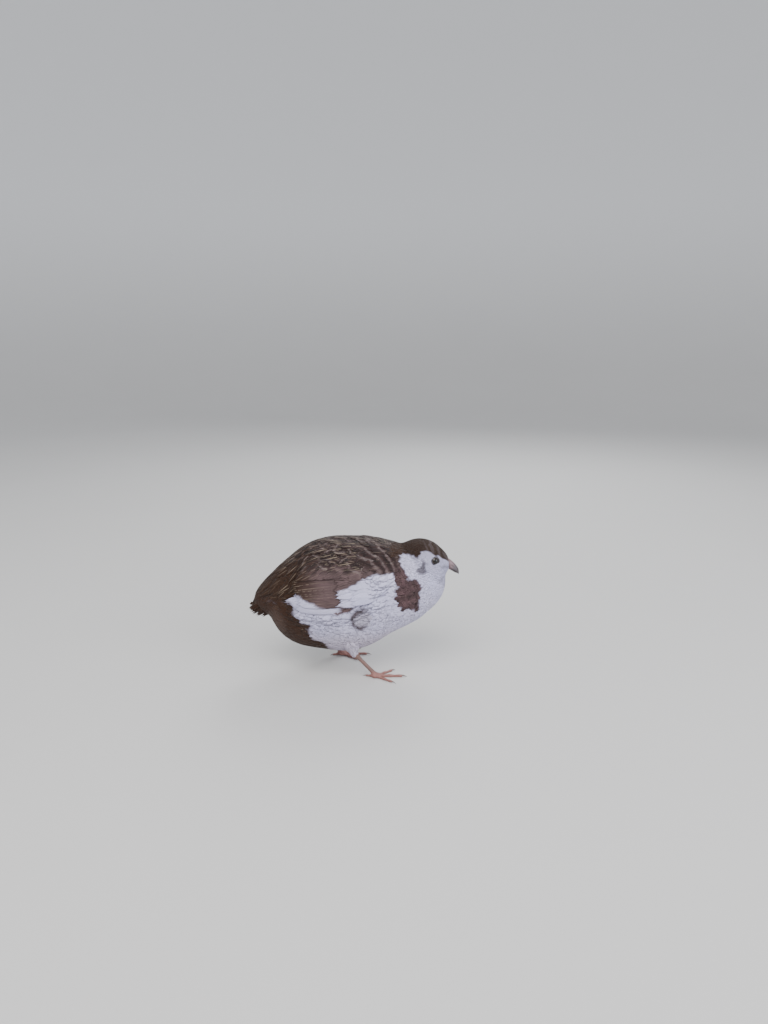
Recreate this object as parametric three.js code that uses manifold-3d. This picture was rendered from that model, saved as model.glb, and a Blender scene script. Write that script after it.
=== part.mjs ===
// A pied coturnix quail, life size, standing low with its head forward, as a still museum model.
// Millimetres. The bird faces +X, its left side is +Y, +Z is up, and its toes rest on z = 0.
import * as THREE from "three";
import { mergeVertices } from "three/addons/utils/BufferGeometryUtils.js";
import Module from "manifold-3d";

const library = await Module();
library.setup();

const V = (x, y, z) => new THREE.Vector3(x, y, z);
const GAP = 0.3; // air kept between two nodes that touch
const RIGHT = -1;
const LEFT = 1;

// Driving dimensions of the body. Each form is an ellipsoid on the mid plane, blended into the ones before it:
// centre (x, z), radii (x, y, z), pitch in degrees with nose up positive, and the width of the blend.
const FORMS = [
  { name: "trunk", centre: [-10, 65.5], radii: [55, 38.5, 48.5], pitch: 0, blend: 0 },
  { name: "vent", centre: [-42, 53], radii: [27, 25, 30], pitch: 18, blend: 12 },
  { name: "rump", centre: [-55, 70], radii: [21, 19, 16], pitch: 40, blend: 12 },
  { name: "mantle", centre: [22, 87], radii: [34, 25, 24], pitch: -4, blend: 12 },
  { name: "breast", centre: [35, 68.5], radii: [33, 30, 30], pitch: 14, blend: 12 },
  { name: "throat", centre: [57, 81], radii: [18.5, 18.5, 25], pitch: 14, blend: 10 },
  { name: "head", centre: [58, 97.5], radii: [18, 13.2, 14], pitch: -24, blend: 7 },
  { name: "face", centre: [70.5, 92.5], radii: [9, 8, 7.6], pitch: -38, blend: 6 },
];

// The body's surface is read along rays from a line inside it: fans at both ends, flat sections between.
const CORE = { tailX: -58, headX: 64, backZ: 66, headRise: 18, riseFrom: 20, tailRise: 3 };
const BODY_FAN = 5; // rings of each end fan
const BODY_SECTIONS = 26;
const BODY_AROUND = 32;

// Cuts that part the body, each a plane through two points (x, z) of the side view.
const CUTS = [
  { name: "rump", over: [-48, 112], under: [-60, 18] },
  { name: "breast", over: [13, 122], under: [24, 18] },
  { name: "neck", over: [30, 122], under: [66, 40] },
  { name: "head", over: [40, 116], under: [80, 74] },
];

const EYE = { x: 66.6, y: 9.5, z: 96.6, radius: 4.3, lidRadius: 3.55, lidTube: 0.75 };

// The bill's own frame starts at base, inside the face, and runs forward and down.
const BILL = { base: [74.5, 92.6], drop: 33, length: 16, width: 6.6, upper: 4.6, lower: 2.6, hook: 1.5 };

const TAIL = { root: [-57, 71], tip: [-87.2, 52.8], feathers: 10, width: 8.5, spread: 3.6, tent: 0.55 };

const SHANK = { x: 1, y: 21, z: 20.5, reach: 17, topWidth: 4.2, midWidth: 2.9, footWidth: 3.8 };
const STEP = { right: 0, left: -30 }; // how far each leg stands forward
const FOOT_PAD = { radius: 4.4, height: 3.9 };
const TOES = [
  { name: "inner", turn: 38, length: 17, thick: 2.4, claw: 4.2 },
  { name: "middle", turn: 1, length: 21.5, thick: 2.7, claw: 4.8 },
  { name: "outer", turn: -36, length: 16.5, thick: 2.4, claw: 4.2 },
  { name: "hind", turn: 168, length: 7.5, thick: 2.1, claw: 3 },
];

const COLOUR = {
  brown: 0x5c4b46,
  cap: 0x4a3b37,
  white: 0xc4c0cf,
  horn: 0x8f8078,
  skin: 0xa98680,
  iris: 0x1c1210,
};

// Distances to the body
const rad = THREE.MathUtils.degToRad;
const clamp = THREE.MathUtils.clamp;
const lerp = THREE.MathUtils.lerp;

for (const form of FORMS) {
  form.cos = Math.cos(rad(form.pitch));
  form.sin = Math.sin(rad(form.pitch));
}

function ellipsoidDistance(form, p) {
  const x = p.x - form.centre[0];
  const z = p.z - form.centre[1];
  const q = [x * form.cos + z * form.sin, p.y, z * form.cos - x * form.sin];
  const [a, b, c] = form.radii;
  const near = Math.hypot(q[0] / a, q[1] / b, q[2] / c);
  const slope = Math.hypot(q[0] / (a * a), q[1] / (b * b), q[2] / (c * c));
  return (near * (near - 1)) / Math.max(slope, 1e-9);
}

function smoothMin(a, b, blend) {
  if (blend === 0) return Math.min(a, b);
  const h = Math.max(blend - Math.abs(a - b), 0) / blend;
  return Math.min(a, b) - (h * h * blend) / 4;
}

function bodyDistance(p) {
  return FORMS.reduce((d, form) => smoothMin(d, ellipsoidDistance(form, p), form.blend), 1e6);
}

function bodyNormal(p) {
  const e = 0.05;
  return V(
    bodyDistance(V(p.x + e, p.y, p.z)) - bodyDistance(V(p.x - e, p.y, p.z)),
    bodyDistance(V(p.x, p.y + e, p.z)) - bodyDistance(V(p.x, p.y - e, p.z)),
    bodyDistance(V(p.x, p.y, p.z + e)) - bodyDistance(V(p.x, p.y, p.z - e)),
  ).normalize();
}

// The point at a given height over the body's surface that is nearest to p.
function onBody(p, lift) {
  const q = p.clone();
  for (let i = 0; i < 6; i++) q.addScaledVector(bodyNormal(q), lift - bodyDistance(q));
  return q;
}

function coreHeight(x) {
  const headPart = clamp((x - CORE.riseFrom) / (CORE.headX - CORE.riseFrom), 0, 1);
  const tailPart = clamp((-20 - x) / 38, 0, 1);
  return CORE.backZ + CORE.headRise * headPart ** 1.3 + CORE.tailRise * tailPart;
}

// Walks along a ray from the core to where the body's distance is lift.
function alongRay(x, direction, lift) {
  const from = V(x, 0, coreHeight(x));
  let t = 0;
  for (let i = 0; i < 60; i++) t -= 0.6 * (bodyDistance(from.clone().addScaledVector(direction, t)) - lift);
  return from.addScaledVector(direction, t);
}

// Closed meshes and solids
// Skins rows of points, each a closed ring or a single pole, and closes both ends. A ring that runs out
// along one line and back along another, as a strip does, is closed straight across.
function loft(rows, strip = false) {
  const points = [];
  const faces = [];
  const starts = rows.map((row) => {
    const start = points.length;
    points.push(...row);
    return start;
  });
  for (let i = 0; i + 1 < rows.length; i++) {
    const n = Math.max(rows[i].length, rows[i + 1].length);
    for (let j = 0; j < n; j++) {
      const k = (j + 1) % n;
      const [a, b] = rows[i].length === 1 ? [starts[i], starts[i]] : [starts[i] + j, starts[i] + k];
      const next = starts[i + 1];
      const [c, d] = rows[i + 1].length === 1 ? [next, next] : [next + j, next + k];
      if (a !== b) faces.push(a, b, c);
      if (c !== d) faces.push(b, d, c);
    }
  }
  const cap = (row, start, flip) => {
    if (row.length === 1) return;
    if (strip) {
      const last = start + row.length - 1;
      for (let j = 0; j + 1 < row.length / 2; j++) {
        const quad = [start + j, start + j + 1, last - j - 1, start + j, last - j - 1, last - j];
        faces.push(...(flip ? quad.reverse() : quad));
      }
      return;
    }
    const middle = points.length;
    points.push(row.reduce((sum, p) => sum.add(p), V(0, 0, 0)).divideScalar(row.length));
    row.forEach((_, j) => {
      const k = (j + 1) % row.length;
      faces.push(...(flip ? [middle, start + k, start + j] : [middle, start + j, start + k]));
    });
  };
  cap(rows[0], starts[0], true);
  cap(rows[rows.length - 1], starts[rows.length - 1], false);
  const geometry = new THREE.BufferGeometry().setFromPoints(points);
  geometry.setIndex(faces);
  return geometry;
}

function solidOf(geometry) {
  const bare = geometry.clone();
  bare.deleteAttribute("normal");
  bare.deleteAttribute("uv");
  const merged = mergeVertices(bare, 1e-4);
  const make = (triVerts) =>
    new library.Manifold(
      new library.Mesh({ numProp: 3, vertProperties: merged.attributes.position.array, triVerts }),
    );
  const faces = new Uint32Array(merged.index.array);
  const solid = make(faces);
  return solid.volume() > 0 ? solid : make(faces.reverse());
}

function joined(solids) {
  return solids.reduce((whole, piece) => whole.add(piece));
}

function largest(solid) {
  return solid.decompose().reduce((a, b) => (b.volume() > a.volume() ? b : a));
}

function node(name, solid, colour, roughness = 0.8) {
  const mesh = solid.getMesh();
  const geometry = new THREE.BufferGeometry();
  geometry.setAttribute("position", new THREE.BufferAttribute(mesh.vertProperties, 3));
  geometry.setIndex(new THREE.BufferAttribute(mesh.triVerts, 1));
  geometry.computeVertexNormals();
  const material = new THREE.MeshStandardMaterial({ color: colour, roughness, metalness: 0 });
  const made = new THREE.Mesh(geometry, material);
  made.name = name;
  return made;
}

function ball(centre, radii, segments) {
  const geometry = new THREE.SphereGeometry(1, segments, Math.round(segments * 0.7));
  geometry.scale(radii[0], radii[1], radii[2]);
  geometry.translate(centre.x, centre.y, centre.z);
  return solidOf(geometry);
}

// The body

function bodySolid(lift) {
  const ring = (x, lean) =>
    Array.from({ length: BODY_AROUND }, (_, j) => {
      const turn = (j / BODY_AROUND) * 2 * Math.PI;
      const c = Math.cos(lean);
      return alongRay(x, V(Math.sin(lean), c * Math.sin(turn), c * Math.cos(turn)), lift);
    });
  const rows = [[alongRay(CORE.tailX, V(-1, 0, 0), lift)]];
  for (let i = 1; i < BODY_FAN; i++) rows.push(ring(CORE.tailX, (Math.PI / 2) * (i / BODY_FAN - 1)));
  for (let i = 0; i <= BODY_SECTIONS; i++) rows.push(ring(lerp(CORE.tailX, CORE.headX, i / BODY_SECTIONS), 0));
  for (let i = 1; i < BODY_FAN; i++) rows.push(ring(CORE.headX, (Math.PI / 2) * (i / BODY_FAN)));
  rows.push([alongRay(CORE.headX, V(1, 0, 0), lift)]);
  return solidOf(loft(rows));
}

// A thin plate through two points of the side view, as wide as the bird.
function cuttingPlate({ over, under }) {
  const run = Math.hypot(over[0] - under[0], over[1] - under[1]);
  const geometry = new THREE.BoxGeometry(GAP, 200, run);
  geometry.rotateY(Math.atan2(over[0] - under[0], over[1] - under[1]));
  geometry.translate((over[0] + under[0]) / 2, 0, (over[1] + under[1]) / 2);
  return solidOf(geometry);
}

const middleX = (solid) => {
  const box = solid.boundingBox();
  return (box.min[0] + box.max[0]) / 2;
};

function partedBody() {
  const cut = joined(CUTS.map(cuttingPlate));
  const pieces = bodySolid(0).subtract(cut).decompose();
  const big = pieces.sort((a, b) => b.volume() - a.volume()).slice(0, CUTS.length + 1);
  const [rump, torso, breast, neck, head] = big.sort((a, b) => middleX(a) - middleX(b));
  return { rump, torso, breast, neck, head };
}

// Eyes, lids and the mouth's corner

function eyeBall(side, grow = 0) {
  const r = EYE.radius + grow;
  return ball(V(EYE.x, side * EYE.y, EYE.z), [r, r, r], 12);
}

function lidRing(side) {
  const outward = bodyNormal(V(EYE.x, side * (EYE.y + 3), EYE.z));
  const seat = onBody(V(EYE.x, side * (EYE.y + 3), EYE.z), 0);
  const ring = new THREE.TorusGeometry(EYE.lidRadius, EYE.lidTube, 6, 16);
  ring.scale(1.08, 0.94, 1);
  ring.applyQuaternion(new THREE.Quaternion().setFromUnitVectors(V(0, 0, 1), outward));
  ring.translate(seat.x, seat.y, seat.z);
  return solidOf(ring);
}

function headSolid(head) {
  let solid = head;
  for (const side of [RIGHT, LEFT]) {
    solid = solid.add(lidRing(side)).subtract(eyeBall(side, GAP)).subtract(mouthCorner(side));
  }
  return largest(solid);
}

// The mouth's line runs back a little way into each cheek.
function mouthCorner(side) {
  const seat = onBody(billPoint(2, side * 6, -0.6), 0);
  const groove = new THREE.BoxGeometry(6, 1.6, 0.5);
  groove.rotateY(rad(BILL.drop * 0.75));
  const flat = bodyNormal(seat).setZ(0).normalize();
  groove.rotateZ(Math.atan2(-flat.x * side, flat.y * side));
  groove.translate(seat.x, seat.y, seat.z);
  return solidOf(groove);
}

// The bill

// A point of the bill's frame: along it, across it, and over its middle line.
function billPoint(along, across, over) {
  const drop = rad(BILL.drop);
  return V(
    BILL.base[0] + along * Math.cos(drop) + over * Math.sin(drop),
    across,
    BILL.base[1] - along * Math.sin(drop) + over * Math.cos(drop),
  );
}

function billSolid(length) {
  const rows = [];
  for (const s of [0, 0.2, 0.4, 0.6, 0.78, 0.92, 1]) {
    const slim = Math.sqrt(Math.max(1 - s ** 2.2, 0.012));
    const half = (BILL.width / 2) * slim;
    const sag = -BILL.hook * s * s;
    const row = [];
    for (let j = 0; j < 10; j++) {
      const a = (j / 10) * 2 * Math.PI;
      const rise = (Math.sin(a) >= 0 ? BILL.upper : BILL.lower) * slim;
      row.push(billPoint(s * length, half * Math.cos(a), sag + rise * Math.sin(a)));
    }
    rows.push(row);
  }
  return solidOf(loft(rows));
}

// Everything of the bill's frame on one side of the mouth's curved line.
function mouthHalf(sign, gap) {
  const rows = [];
  for (const s of [-0.6, -0.2, 0.2, 0.4, 0.6, 0.8, 1, 1.25]) {
    const line = -0.45 - BILL.hook * s * Math.abs(s) + (sign * gap) / 2;
    const far = line + sign * 12;
    const along = s * BILL.length;
    const row = [[-8, line], [8, line], [8, far], [-8, far]].map(([y, z]) => billPoint(along, y, z));
    rows.push(row);
  }
  return solidOf(loft(rows));
}

function billNodes(body) {
  const whole = billSolid(BILL.length);
  const lower = billSolid(BILL.length * 0.93);
  const nostrils = joined(
    [RIGHT, LEFT].map((side) => ball(billPoint(7.2, side * 2.85, 1.7), [1.3, 0.8, 0.55], 8)),
  );
  return {
    bill_upper: largest(whole.intersect(mouthHalf(1, GAP)).subtract(body).subtract(nostrils)),
    bill_lower: largest(lower.intersect(mouthHalf(-1, GAP)).subtract(body)),
  };
}

// Feather vanes

const VANE_THICK = { shaft: 0.95, edge: 0.55 };
const VANE_STEP = 12; // the longest stretch of a vane between two rows

// Rows of a vane: even steps, then two that round its tip. The width is a share of the widest.
function vaneRows(length) {
  const steps = Math.max(2, Math.ceil((length * 0.78) / VANE_STEP));
  const rows = Array.from({ length: steps + 1 }, (_, i) => {
    const at = (0.78 * i) / steps;
    return { at, share: lerp(0.55, 1, Math.min(at / 0.4, 1)) };
  });
  return [...rows, { at: 0.93, share: 0.72 }, { at: 1, share: 0.3 }];
}

// A closed plate from rows of three points, lower edge, shaft and upper edge, each with its outward direction.
function plate(rows) {
  const face = (row, sign) =>
    row.map(({ point, out }, i) => {
      const thick = i === 1 ? VANE_THICK.shaft : VANE_THICK.edge;
      return point.clone().addScaledVector(out, (sign * thick) / 2);
    });
  return solidOf(loft(rows.map((row) => [...face(row, 1), ...face(row, -1).reverse()]), true));
}

// A vane that lies on the body's side. Root and tip are points (x, z) of the side view.
function bodyVane(side, { root, tip, width, rootLift, tipLift, roll }) {
  const seat = (x, z, lift) => onBody(V(x, side * 34, z), lift);
  const run = V(tip[0] - root[0], 0, tip[1] - root[1]);
  const rows = vaneRows(run.length());
  run.normalize();
  return plate(
    rows.map(({ at, share }) => {
      const x = lerp(root[0], tip[0], at);
      const z = lerp(root[1], tip[1], at);
      const lift = lerp(rootLift, tipLift, at);
      const middle = seat(x, z, lift);
      const across = bodyNormal(middle).cross(run).normalize();
      if (across.z > 0) across.negate();
      return [1, 0, -1].map((edge) => {
        const aside = middle.clone().addScaledVector(across, (edge * share * width) / 2);
        const point = edge === 0 ? middle : onBody(aside, lift + roll * edge);
        return { point, out: bodyNormal(point) };
      });
    }),
  );
}

// Folded wings. Each tier runs from its lowest feather to its highest.
const WING_TIERS = [
  { name: "primaries", count: 4, roots: [[2, 67], [4, 74]], tips: [[-49, 62], [-60, 69]], width: 8 },
  { name: "secondaries", count: 5, roots: [[7, 73], [9, 96]], tips: [[-45, 69], [-54, 87]], width: 11.5 },
  { name: "greater_coverts", count: 5, roots: [[17, 74], [17, 99]], tips: [[-9, 69], [-13, 94]], width: 11 },
  { name: "median_coverts", count: 5, roots: [[25, 76], [24, 100]], tips: [[5, 72], [3, 96]], width: 10.5 },
  { name: "lesser_coverts", count: 4, roots: [[32, 78], [30, 97]], tips: [[17, 74], [15, 93]], width: 10 },
  { name: "scapulars", count: 5, roots: [[27, 100], [-19, 106]], tips: [[8, 92], [-48, 92]], width: 14 },
];
const WING_LIFT = { root: 1.3, tip: 2.8, roll: 0.4 };
const WING_CORE = {
  inner: 0.8,
  outer: 1.9,
  sections: [
    { x: 35, low: 83, high: 92 },
    { x: 28, low: 75, high: 99 },
    { x: 20, low: 72, high: 102 },
    { x: 11, low: 68, high: 104 },
    { x: 2, low: 66, high: 105 },
    { x: -7, low: 65, high: 106 },
    { x: -16, low: 64, high: 106 },
    { x: -25, low: 64, high: 104 },
    { x: -34, low: 64, high: 99 },
    { x: -42, low: 65, high: 92 },
    { x: -48, low: 66, high: 86 },
  ],
};

function wingCore(side) {
  const steps = 5;
  const line = (section, lift) =>
    Array.from({ length: steps + 1 }, (_, i) =>
      onBody(V(section.x, side * 34, lerp(section.low, section.high, i / steps)), lift),
    );
  const rows = WING_CORE.sections.map((section) => [
    ...line(section, WING_CORE.outer),
    ...line(section, WING_CORE.inner).reverse(),
  ]);
  return solidOf(loft(rows, true));
}

function wing(side) {
  const pieces = [wingCore(side)];
  for (const { count, roots, tips, width } of WING_TIERS) {
    for (let i = 0; i < count; i++) {
      const t = i / (count - 1);
      const between = (ends) => [lerp(ends[0][0], ends[1][0], t), lerp(ends[0][1], ends[1][1], t)];
      const uneven = 1 + 0.05 * Math.sin(i * 2.7 + count);
      pieces.push(
        bodyVane(side, {
          root: between(roots),
          tip: between(tips),
          width: width * uneven,
          rootLift: WING_LIFT.root,
          tipLift: WING_LIFT.tip + 0.15 * Math.cos(i * 1.9),
          roll: WING_LIFT.roll,
        }),
      );
    }
  }
  return largest(joined(pieces));
}

// The tail

// A vane between two free points, arched upwards, with its width across the bird.
function freeVane({ root, tip, width, arch, tilt = 0 }) {
  const run = tip.clone().sub(root);
  const up = V(-run.z, 0, run.x).multiplyScalar(Math.sign(run.x)).normalize();
  const across = run.clone().normalize().cross(up).normalize();
  const out = up.clone().applyAxisAngle(run.clone().normalize(), tilt);
  const over = across.clone().applyAxisAngle(run.clone().normalize(), tilt);
  return plate(
    vaneRows(run.length()).map(({ at, share }) => {
      const middle = root.clone().addScaledVector(run, at);
      middle.addScaledVector(up, arch * 4 * at * (1 - at));
      return [1, 0, -1].map((edge) => ({
        point: middle.clone().addScaledVector(over, (edge * share * width) / 2),
        out,
      }));
    }),
  );
}

const TAIL_TIERS = [
  { name: "rectrices", count: TAIL.feathers, reach: 1, raise: 0, width: TAIL.width, spread: TAIL.spread },
  { name: "upper_coverts", count: 5, reach: 0.84, raise: 2.2, width: 9.5, spread: 6 },
  { name: "rump_coverts", count: 4, reach: 0.62, raise: 4.6, width: 10.5, spread: 7 },
  { name: "under_coverts", count: 5, reach: 0.78, raise: -4.2, width: 9.5, spread: 6.5 },
  { name: "vent_coverts", count: 4, reach: 0.56, raise: -8.2, width: 10.5, spread: 7.5 },
];

function tail(body) {
  const root = V(TAIL.root[0], 0, TAIL.root[1]);
  const tip = V(TAIL.tip[0], 0, TAIL.tip[1]);
  const run = tip.clone().sub(root);
  const up = V(-run.z, 0, run.x).multiplyScalar(Math.sign(run.x)).normalize().negate();
  const pieces = [];
  const coreRows = [0, 0.3, 0.5, 0.66].map((s) => {
    const middle = root.clone().addScaledVector(run, s).addScaledVector(up, -2.6 * (1 - s));
    return Array.from({ length: 12 }, (_, j) => {
      const a = (j / 12) * 2 * Math.PI;
      const flat = V(0, Math.cos(a) * lerp(15, 6.5, s), 0);
      return middle.clone().add(flat).addScaledVector(up, Math.sin(a) * lerp(12, 2, s));
    });
  });
  pieces.push(solidOf(loft(coreRows)));
  for (const { count, reach, raise, width, spread } of TAIL_TIERS) {
    for (let i = 0; i < count; i++) {
      const place = i - (count - 1) / 2;
      const turn = rad(place * spread);
      const sink = -TAIL.tent * Math.abs(place) ** 1.35 * (spread / TAIL.spread);
      const from = root.clone().addScaledVector(up, raise + sink * 0.5).add(V(0, place * 1.5, 0));
      const along = run.clone().multiplyScalar(reach * (1 - 0.012 * place * place));
      const to = from.clone().addScaledVector(along, Math.cos(turn));
      to.add(V(0, Math.sin(turn) * along.length(), 0)).addScaledVector(up, sink - raise * 0.55);
      pieces.push(freeVane({ root: from, tip: to, width, arch: raise < 0 ? -0.6 : 0.9, tilt: 0.07 * place }));
    }
  }
  return largest(joined(pieces).subtract(body));
}

// Legs and feet

// A tapered limb through points with radii, rounder or flatter by its side share.
function limb(points, sides = 10, flatten = 1) {
  const along = points[points.length - 1].at.clone().sub(points[0].at).normalize();
  const across = V(0, 1, 0).cross(along).lengthSq() > 1e-6 ? V(0, 1, 0) : V(1, 0, 0);
  const front = across.clone().cross(along).normalize();
  const side = along.clone().cross(front).normalize();
  return solidOf(
    loft(
      points.map(({ at, radius }) =>
        Array.from({ length: sides }, (_, j) => {
          const a = (j / sides) * 2 * Math.PI;
          return at
            .clone()
            .addScaledVector(side, Math.cos(a) * radius * flatten)
            .addScaledVector(front, Math.sin(a) * radius);
        }),
      ),
    ),
  );
}

function legFrame(side) {
  const step = side === RIGHT ? STEP.right : STEP.left;
  return {
    hock: V(SHANK.x + step, side * SHANK.y, SHANK.z),
    ankle: V(SHANK.x + SHANK.reach + step, side * (SHANK.y + 1), FOOT_PAD.height * 0.6),
  };
}

// The pad under the toes' roots, flat below.
function footPad(side, grow = 0) {
  const { ankle } = legFrame(side);
  const levels = [
    { z: 0, share: 0.84 },
    { z: 0.2, share: 0.96 },
    { z: 0.42, share: 1 },
    { z: 0.72, share: 0.82 },
    { z: 0.92, share: 0.5 },
    { z: 1, share: 0.2 },
  ];
  const rows = levels.map(({ z, share }) =>
    Array.from({ length: 14 }, (_, j) => {
      const a = (j / 14) * 2 * Math.PI;
      const r = FOOT_PAD.radius * share + grow;
      const height = z * FOOT_PAD.height + (z > 0 ? grow : 0);
      return V(ankle.x + r * Math.cos(a), ankle.y + r * Math.sin(a), height);
    }),
  );
  return solidOf(loft(rows));
}

function hockBall(side, grow = 0) {
  const { hock } = legFrame(side);
  return ball(hock, [3 + grow, 2.6 + grow, 3 + grow], 10);
}

function shank(side) {
  const { hock, ankle } = legFrame(side);
  const at = (s) => hock.clone().lerp(ankle, s);
  const bone = limb(
    [
      { at: at(0), radius: SHANK.topWidth / 2 },
      { at: at(0.15), radius: SHANK.topWidth / 2 },
      { at: at(0.35), radius: SHANK.midWidth / 2 },
      { at: at(0.75), radius: SHANK.midWidth / 2 },
      { at: at(1), radius: SHANK.footWidth / 2 },
    ],
    10,
    0.85,
  );
  return largest(bone.add(hockBall(side)).subtract(footPad(side, GAP)));
}

function thigh(side, body) {
  const { hock } = legFrame(side);
  const knee = hock.clone().add(V(-5, side * -2, 16));
  const muff = limb(
    [
      { at: knee, radius: 10 },
      { at: knee.clone().lerp(hock, 0.45), radius: 8 },
      { at: knee.clone().lerp(hock, 0.85), radius: 4.6 },
      { at: knee.clone().lerp(hock, 1.02), radius: 2.6 },
    ],
    14,
  );
  return largest(muff.subtract(body).subtract(hockBall(side, GAP)).subtract(growShank(side)));
}

function growShank(side) {
  const { hock, ankle } = legFrame(side);
  return limb([
    { at: hock, radius: SHANK.topWidth / 2 + GAP },
    { at: ankle, radius: SHANK.topWidth / 2 + GAP },
  ]);
}

// A toe with its claw, flat below where it rests on the floor. It starts beside the pad, face to face.
function toe(side, { turn, length, thick, claw }) {
  const { ankle } = legFrame(side);
  const heading = rad(turn * -side);
  const run = V(Math.cos(heading), Math.sin(heading), 0);
  const across = V(-run.y, run.x, 0);
  const start = FOOT_PAD.radius + GAP;
  const knuckles = [0, 0.2, 0.38, 0.56, 0.74, 0.92].map((s, i) => ({
    along: start + s * (length - start),
    radius: (thick / 2) * (1 - 0.2 * s) * (i % 2 ? 1.08 : 0.9),
    rise: 0,
  }));
  const tipEnd = [
    { along: length + claw * 0.1, radius: thick * 0.25, rise: 0.3 },
    { along: length + claw * 0.6, radius: thick * 0.16, rise: 0.2 },
    { along: length + claw, radius: 0.2, rise: 0 },
  ];
  const rows = [...knuckles, ...tipEnd].map(({ along, radius, rise }) => {
    const middle = V(ankle.x, ankle.y, radius * 0.9 + rise).addScaledVector(run, along);
    return Array.from({ length: 8 }, (_, j) => {
      const a = ((j + 0.5) / 8) * 2 * Math.PI;
      const p = middle.clone().addScaledVector(across, Math.cos(a) * radius);
      p.z = Math.max(p.z + Math.sin(a) * radius * 1.05, rise);
      return p;
    });
  });
  return solidOf(loft(rows));
}

// The whole bird

const quail = new THREE.Group();
quail.name = "quail";

const clearOfBody = bodySolid(GAP);
const body = partedBody();
quail.add(node("rump", body.rump, COLOUR.brown));
quail.add(node("torso", body.torso, COLOUR.white));
quail.add(node("breast", body.breast, COLOUR.white));
quail.add(node("neck", body.neck, COLOUR.brown));
quail.add(node("head", headSolid(body.head), COLOUR.white));
for (const [name, solid] of Object.entries(billNodes(clearOfBody))) {
  quail.add(node(name, solid, COLOUR.horn, 0.5));
}
quail.add(node("tail", tail(clearOfBody), COLOUR.brown));

for (const [word, side] of [["right", RIGHT], ["left", LEFT]]) {
  quail.add(node(`eye_${word}`, eyeBall(side), COLOUR.iris, 0.1));
  quail.add(node(`wing_${word}`, wing(side), COLOUR.brown));
  quail.add(node(`thigh_${word}`, thigh(side, clearOfBody), COLOUR.white));
  quail.add(node(`shank_${word}`, shank(side), COLOUR.skin, 0.6));
  quail.add(node(`foot_${word}`, footPad(side), COLOUR.skin, 0.6));
  for (const form of TOES) quail.add(node(`toe_${form.name}_${word}`, toe(side, form), COLOUR.skin, 0.6));
}

export default quail;
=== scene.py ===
"""The looks of a pied coturnix quail, life size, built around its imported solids.

Lengths in this file are millimetres until a mesh is made, which is in metres. The bird faces +X, its left
side is +Y, and its toes rest on z = 0.
"""

import math
from itertools import product

import bpy
import numpy as np
from mathutils import Matrix, Vector, kdtree


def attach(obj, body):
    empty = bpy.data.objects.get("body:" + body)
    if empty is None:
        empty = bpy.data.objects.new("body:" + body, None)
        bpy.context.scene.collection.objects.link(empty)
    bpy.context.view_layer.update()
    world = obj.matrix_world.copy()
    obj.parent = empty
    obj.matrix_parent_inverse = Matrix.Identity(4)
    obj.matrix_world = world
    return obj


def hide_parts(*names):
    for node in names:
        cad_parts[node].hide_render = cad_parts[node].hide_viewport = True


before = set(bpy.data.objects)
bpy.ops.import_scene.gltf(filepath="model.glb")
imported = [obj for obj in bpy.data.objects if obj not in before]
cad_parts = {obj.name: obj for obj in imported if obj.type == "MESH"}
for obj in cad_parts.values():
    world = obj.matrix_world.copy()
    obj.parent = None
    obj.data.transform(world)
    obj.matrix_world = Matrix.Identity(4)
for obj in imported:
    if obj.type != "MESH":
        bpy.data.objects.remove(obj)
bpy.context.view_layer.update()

MM = 0.001
RIGHT, LEFT = -1, 1
SIDE_WORD = {RIGHT: "right", LEFT: "left"}
# Seeds of the random draws. The sides and the batches of one part count on from these.
SEED = {"scatter": 5, "coat": 17, "wing": 60, "tail": 71, "thigh": 90}
VANE_SEED = {"coat": 100, "wing": 200, "tail": 300, "thigh": 400}

# The body's form: ellipsoids on the mid plane, each blended into the ones before it. They are given as
# (centre x, centre z), (radii x, y, z), pitch in degrees with nose up positive, width of the blend

FORMS = [
    ((-10, 65.5), (55, 38.5, 48.5), 0, 0),
    ((-42, 53), (27, 25, 30), 18, 12),
    ((-55, 70), (21, 19, 16), 40, 12),
    ((22, 87), (34, 25, 24), -4, 12),
    ((35, 68.5), (33, 30, 30), 14, 12),
    ((57, 81), (18.5, 18.5, 25), 14, 10),
    ((58, 97.5), (18, 13.2, 14), -24, 7),
    ((70.5, 92.5), (9, 8, 7.6), -38, 6),
    ((-69.5, 64), (14, 12, 9.5), 31, 10),  # the feathered base of the tail
]
TAIL_X, HEAD_X = -58.0, 64.0  # the ends of the line that the surface is measured from
TAILWARD = np.array([-0.875, 0, -0.483])


def unit(v):
    return v / np.maximum(np.linalg.norm(v, axis=-1, keepdims=True), 1e-12)


def square_to(v, axis):
    """Unit vectors at right angles to axis that are nearest to v."""
    return unit(v - np.einsum("ij,ij->i", v, axis)[:, None] * axis)


def smooth(a, b, x):
    t = np.clip((x - a) / (b - a), 0, 1)
    return t * t * (3 - 2 * t)


def mix(a, b, t):
    return a + (b - a) * t


def ring_turns(count):
    """Angles of points spread evenly round a ring."""
    return np.linspace(0, 2 * np.pi, count, endpoint=False)


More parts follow.
